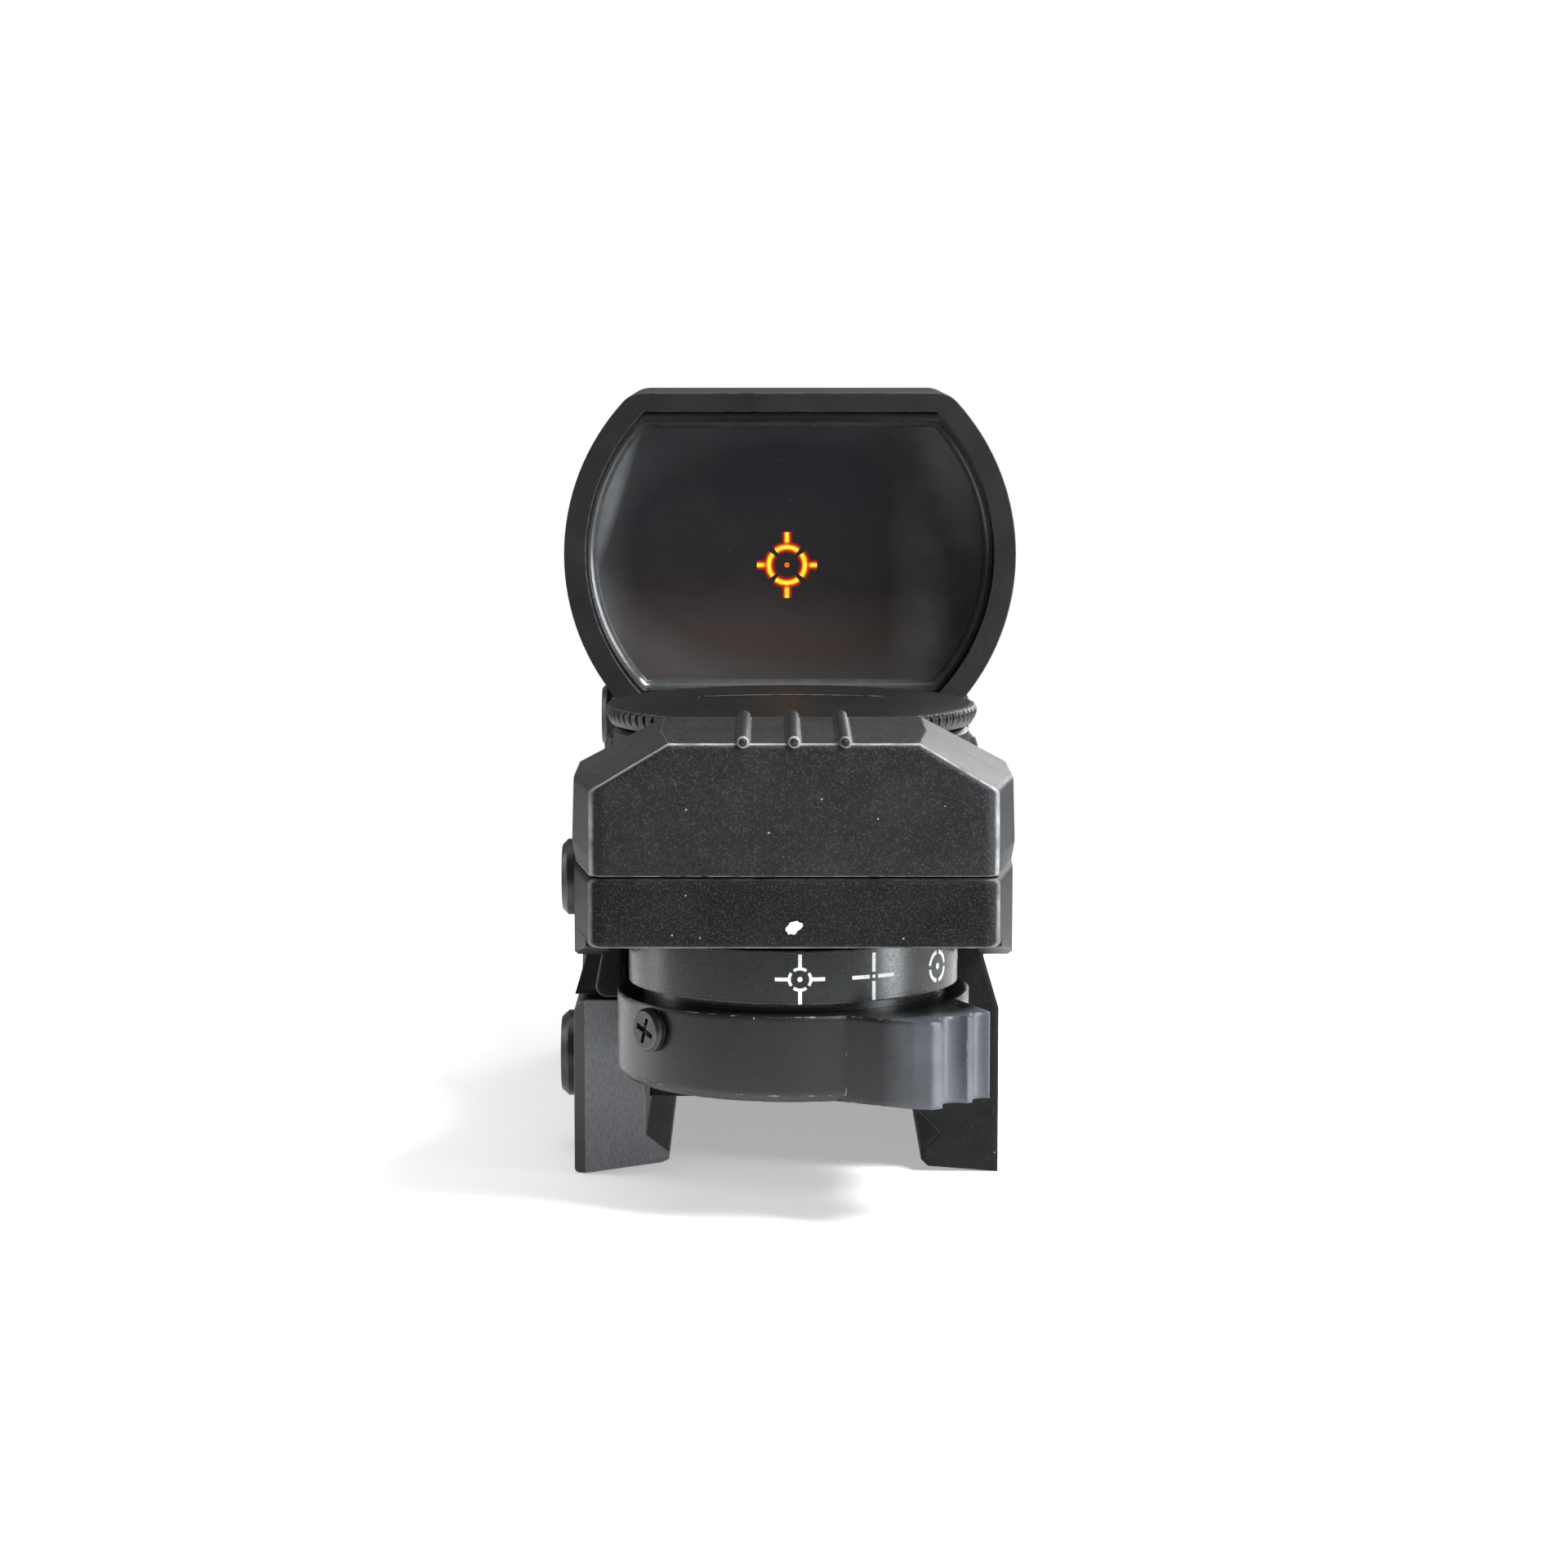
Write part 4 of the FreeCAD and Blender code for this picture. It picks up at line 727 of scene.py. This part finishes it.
def index_dot():
    """The uneven dab of white paint on the rear block that the drum's marks line up with."""
    low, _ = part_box("base_body")
    half_width, half_height = 0.54, 0.45
    centre_x, centre_z = -0.03, 20.6
    lean = 0.25
    proud, dome = 0.004, 0.03
    dome_x_squared, dome_y_squared = 0.4, 0.25
    radii = (1.12, 1.18, 0.98, 1.1, 1.02, 1.12, 0.96, 1.06, 1.0, 0.82, 0.95, 0.74, 0.92, 0.8, 0.66, 0.86)
    rows = []
    for i in range(len(radii) + 1):
        angle = 2 * math.pi * i / len(radii)
        out = Vector((math.cos(angle) * half_width, math.sin(angle) * half_height)) * radii[i % len(radii)]
        rows.append((Vector((0, 0)), out * 0.5, out))

    def onto(x, y):
        rise = dome * max(0.0, 1 - (x * x / dome_x_squared + y * y / dome_y_squared))
        return ((x + centre_x) * MM, low[1] - (proud + rise) * MM, (centre_z + y + x * lean) * MM)

    mark("index_dot", [rows], onto, "base", PAINT)


def behind_lens(across, back, up):
    """A place measured from the lens's tilt axis, in metres along the tilted lens's directions."""
    return LENS_PIVOT + Matrix.Rotation(LENS_TILT, 3, "X") @ Vector((across, -back, up))


def on_lens(centre_x, centre_z):
    """Lays a drawing on the lens's hollow rear face, centred at a place in the frame."""
    face, proud = 0.2 * MM, 0.04 * MM

    def onto(x, y):
        across = centre_x + x * MM - LENS_PIVOT.x
        up = (centre_z + y * MM - LENS_PIVOT.z) / math.cos(LENS_TILT)
        sag = LENS_CURVE - math.sqrt(LENS_CURVE**2 - across**2 - up**2)
        return behind_lens(across, face + sag + proud, up)

    return onto


def glow(name, strength, *colours):
    """Light across a stroke: its colour from the middle out, and it dies away to nothing at the sides."""
    s = Shader(name)
    across = s.xyz(s.new("ShaderNodeUVMap", uv_map="across").outputs[0])[0]
    off = s.math("ABSOLUTE", s.math("SUBTRACT", s.times(across, 2), 1))
    return s.surface({
        "Base Color": (0.02, 0.005, 0.004, 1),
        "Roughness": 0.5,
        "Specular IOR Level": 0.2,
        "Emission Color": s.ramp(off, *colours),
        "Emission Strength": strength,
        "Alpha": s.grey_ramp(off, 0.3, 1.0, 1.0, 0.0, "SMOOTHSTEP"),
    })


def lit_reticle():
    """The lit reticle as it hangs in the lens: a ring broken at its diagonals, four ticks and a dot."""
    onto = on_lens(-0.23 * MM, 40.66 * MM)
    yellow, orange = (1.0, 0.8, 0.03), (0.9, 0.3, 0.01)
    red, ember = (0.55, 0.03, 0.005), (0.2, 0.005, 0.005)
    fading = ((0.0, yellow), (0.15, yellow), (0.27, orange), (0.42, red), (0.8, ember))
    bright = glow("reticle_light", 1.15, *fading)
    faint = glow("dot_light", 1.0, (0.0, orange), (1.0, red))
    strokes = []
    for turn, reach in ((0, 2.45), (90, 2.7), (180, 2.45), (270, 2.7)):
        strokes.append(arc(1.47, turn - 38, turn + 38, 1.2, 18))
        strokes.append(spoke(turn, 1.6, reach, 1.1, 6))
    mark("lit_ring", strokes, onto, "lens", bright)
    mark("lit_dot", [dot(0.26)], onto, "lens", faint)


def flatted_ring(radius, half, steps=24):
    """The outline of a disc cut flat above and below, as points in mm, the same number for any size."""
    corner = math.degrees(math.asin(half / radius))
    x = radius * math.cos(math.radians(corner))
    points = []
    for side, sign in ((0, 1), (180, -1)):
        for i in range(steps + 1):
            angle = math.radians(side - corner + 2 * corner * i / steps)
            points.append((radius * math.cos(angle), radius * math.sin(angle)))
        points += [(sign * x * (1 - 2 * i / steps), sign * half) for i in range(1, steps)]
    return points


def lens_bead():
    """The glossy bead of black sealant that runs round the lens, between the glass and its ring."""
    radius, half = 16.18, 10.98
    inset_and_back = ((0.02, 1.9), (0.15, 1.82), (0.32, 1.68), (0.46, 1.5), (0.55, 1.28), (0.6, 1.0))
    build = bmesh.new()
    rows = []
    for inset, back in inset_and_back:
        outline = flatted_ring(radius - inset, half - inset)
        rows.append([build.verts.new(behind_lens(x * MM, back * MM, y * MM)) for x, y in outline])
    for row, after in zip(rows, rows[1:]):
        count = len(row)
        for i in range(count):
            j = (i + 1) % count
            build.faces.new((row[i], row[j], after[j], after[i])).smooth = True
    made(build, "lens_bead", SEALANT, "lens")


drum_marks()
index_dot()
lens_bead()
lit_reticle()


# ---------------------------------------------------------------- floor, light and camera


def floor():
    """A pale floor, faintly lit from below like a light table, that fades out into the white room."""
    half_size, fade_start, fade_end = 0.2, 0.05, 0.17
    build = bmesh.new()
    bmesh.ops.create_grid(build, x_segments=1, y_segments=1, size=half_size)
    mesh = bpy.data.meshes.new("floor")
    build.to_mesh(mesh)
    build.free()
    ground = bpy.data.objects.new("floor", mesh)
    ground.location.z = cad_box[0][2]
    bpy.context.collection.objects.link(ground)
    s = Shader("pale_floor")
    mesh.materials.append(s.surface({
        "Base Color": s.mix(s.noise(20 * MM, 3), (0.84, 0.84, 0.84), (0.88, 0.88, 0.88)),
        "Roughness": 0.8,
        "Specular IOR Level": 0.2,
        "Emission Color": (1, 1, 1, 1),
        "Emission Strength": 0.4,
        "Alpha": s.grey_ramp(s.length(s.place), fade_start, fade_end, 1.0, 0.0, "SMOOTHSTEP"),
    }))


def white_room():
    """A world that is pure white to the camera and lights the object only dimly."""
    dim, white = 0.25, 1.0
    world = bpy.data.worlds.new("studio")
    world.use_nodes = True
    tree = world.node_tree
    level = tree.nodes.new("ShaderNodeMapRange")
    level.inputs["To Min"].default_value = dim
    level.inputs["To Max"].default_value = white
    tree.links.new(tree.nodes.new("ShaderNodeLightPath").outputs["Is Camera Ray"], level.inputs["Value"])
    tree.links.new(level.outputs["Result"], tree.nodes["Background"].inputs["Strength"])
    tree.nodes["Background"].inputs["Color"].default_value = (1, 1, 1, 1)
    bpy.context.scene.world = world
    bpy.context.scene.view_settings.view_transform = "Standard"


def softbox(name, place, target, size, power, colour=(1, 1, 1)):
    """A rectangular area light that faces a target."""
    light = bpy.data.lights.new(name, "AREA")
    light.shape = "RECTANGLE"
    light.size, light.size_y = size
    light.energy = power
    light.color = colour
    lamp = bpy.data.objects.new(name, light)
    lamp.location = place
    lamp.rotation_euler = (Vector(target) - Vector(place)).to_track_quat("-Z", "Y").to_euler()
    bpy.context.collection.objects.link(lamp)


def camera(place, pitch_down, turn, lens):
    """The camera, at a place in metres, with its angles in degrees and its focal length in mm."""
    view = bpy.data.cameras.new("camera")
    view.lens = lens
    view.sensor_width = 36
    view.clip_start = 0.01
    eye = bpy.data.objects.new("camera", view)
    eye.location = place
    eye.rotation_euler = (math.radians(90 - pitch_down), 0, math.radians(turn))
    bpy.context.collection.objects.link(eye)
    bpy.context.scene.camera = eye


MIDDLE = (0, 0, 0.03)
REAR = (0, -0.03, 0.03)
FRONT = (0, 0.03, 0.03)

floor()
white_room()
softbox("top_box", (0.0, 0.02, 0.5), MIDDLE, size=(0.5, 0.4), power=1.1)
softbox("key_box", (0.24, -0.157, 0.352), REAR, size=(0.18, 0.18), power=4.2, colour=(0.95, 0.98, 1.0))
softbox("right_box", (0.40, -0.16, 0.06), MIDDLE, size=(0.12, 0.26), power=1.7, colour=(0.92, 0.96, 1.0))
softbox("left_box", (-0.40, 0.12, 0.10), MIDDLE, size=(0.12, 0.3), power=0.55, colour=(1.0, 0.98, 0.95))
softbox("front_box", (0.2, 0.4, 0.16), FRONT, size=(0.16, 0.16), power=0.8)
camera(place=(-0.0015, -0.3036, 0.0615), pitch_down=6.75, turn=-0.18, lens=92.5)
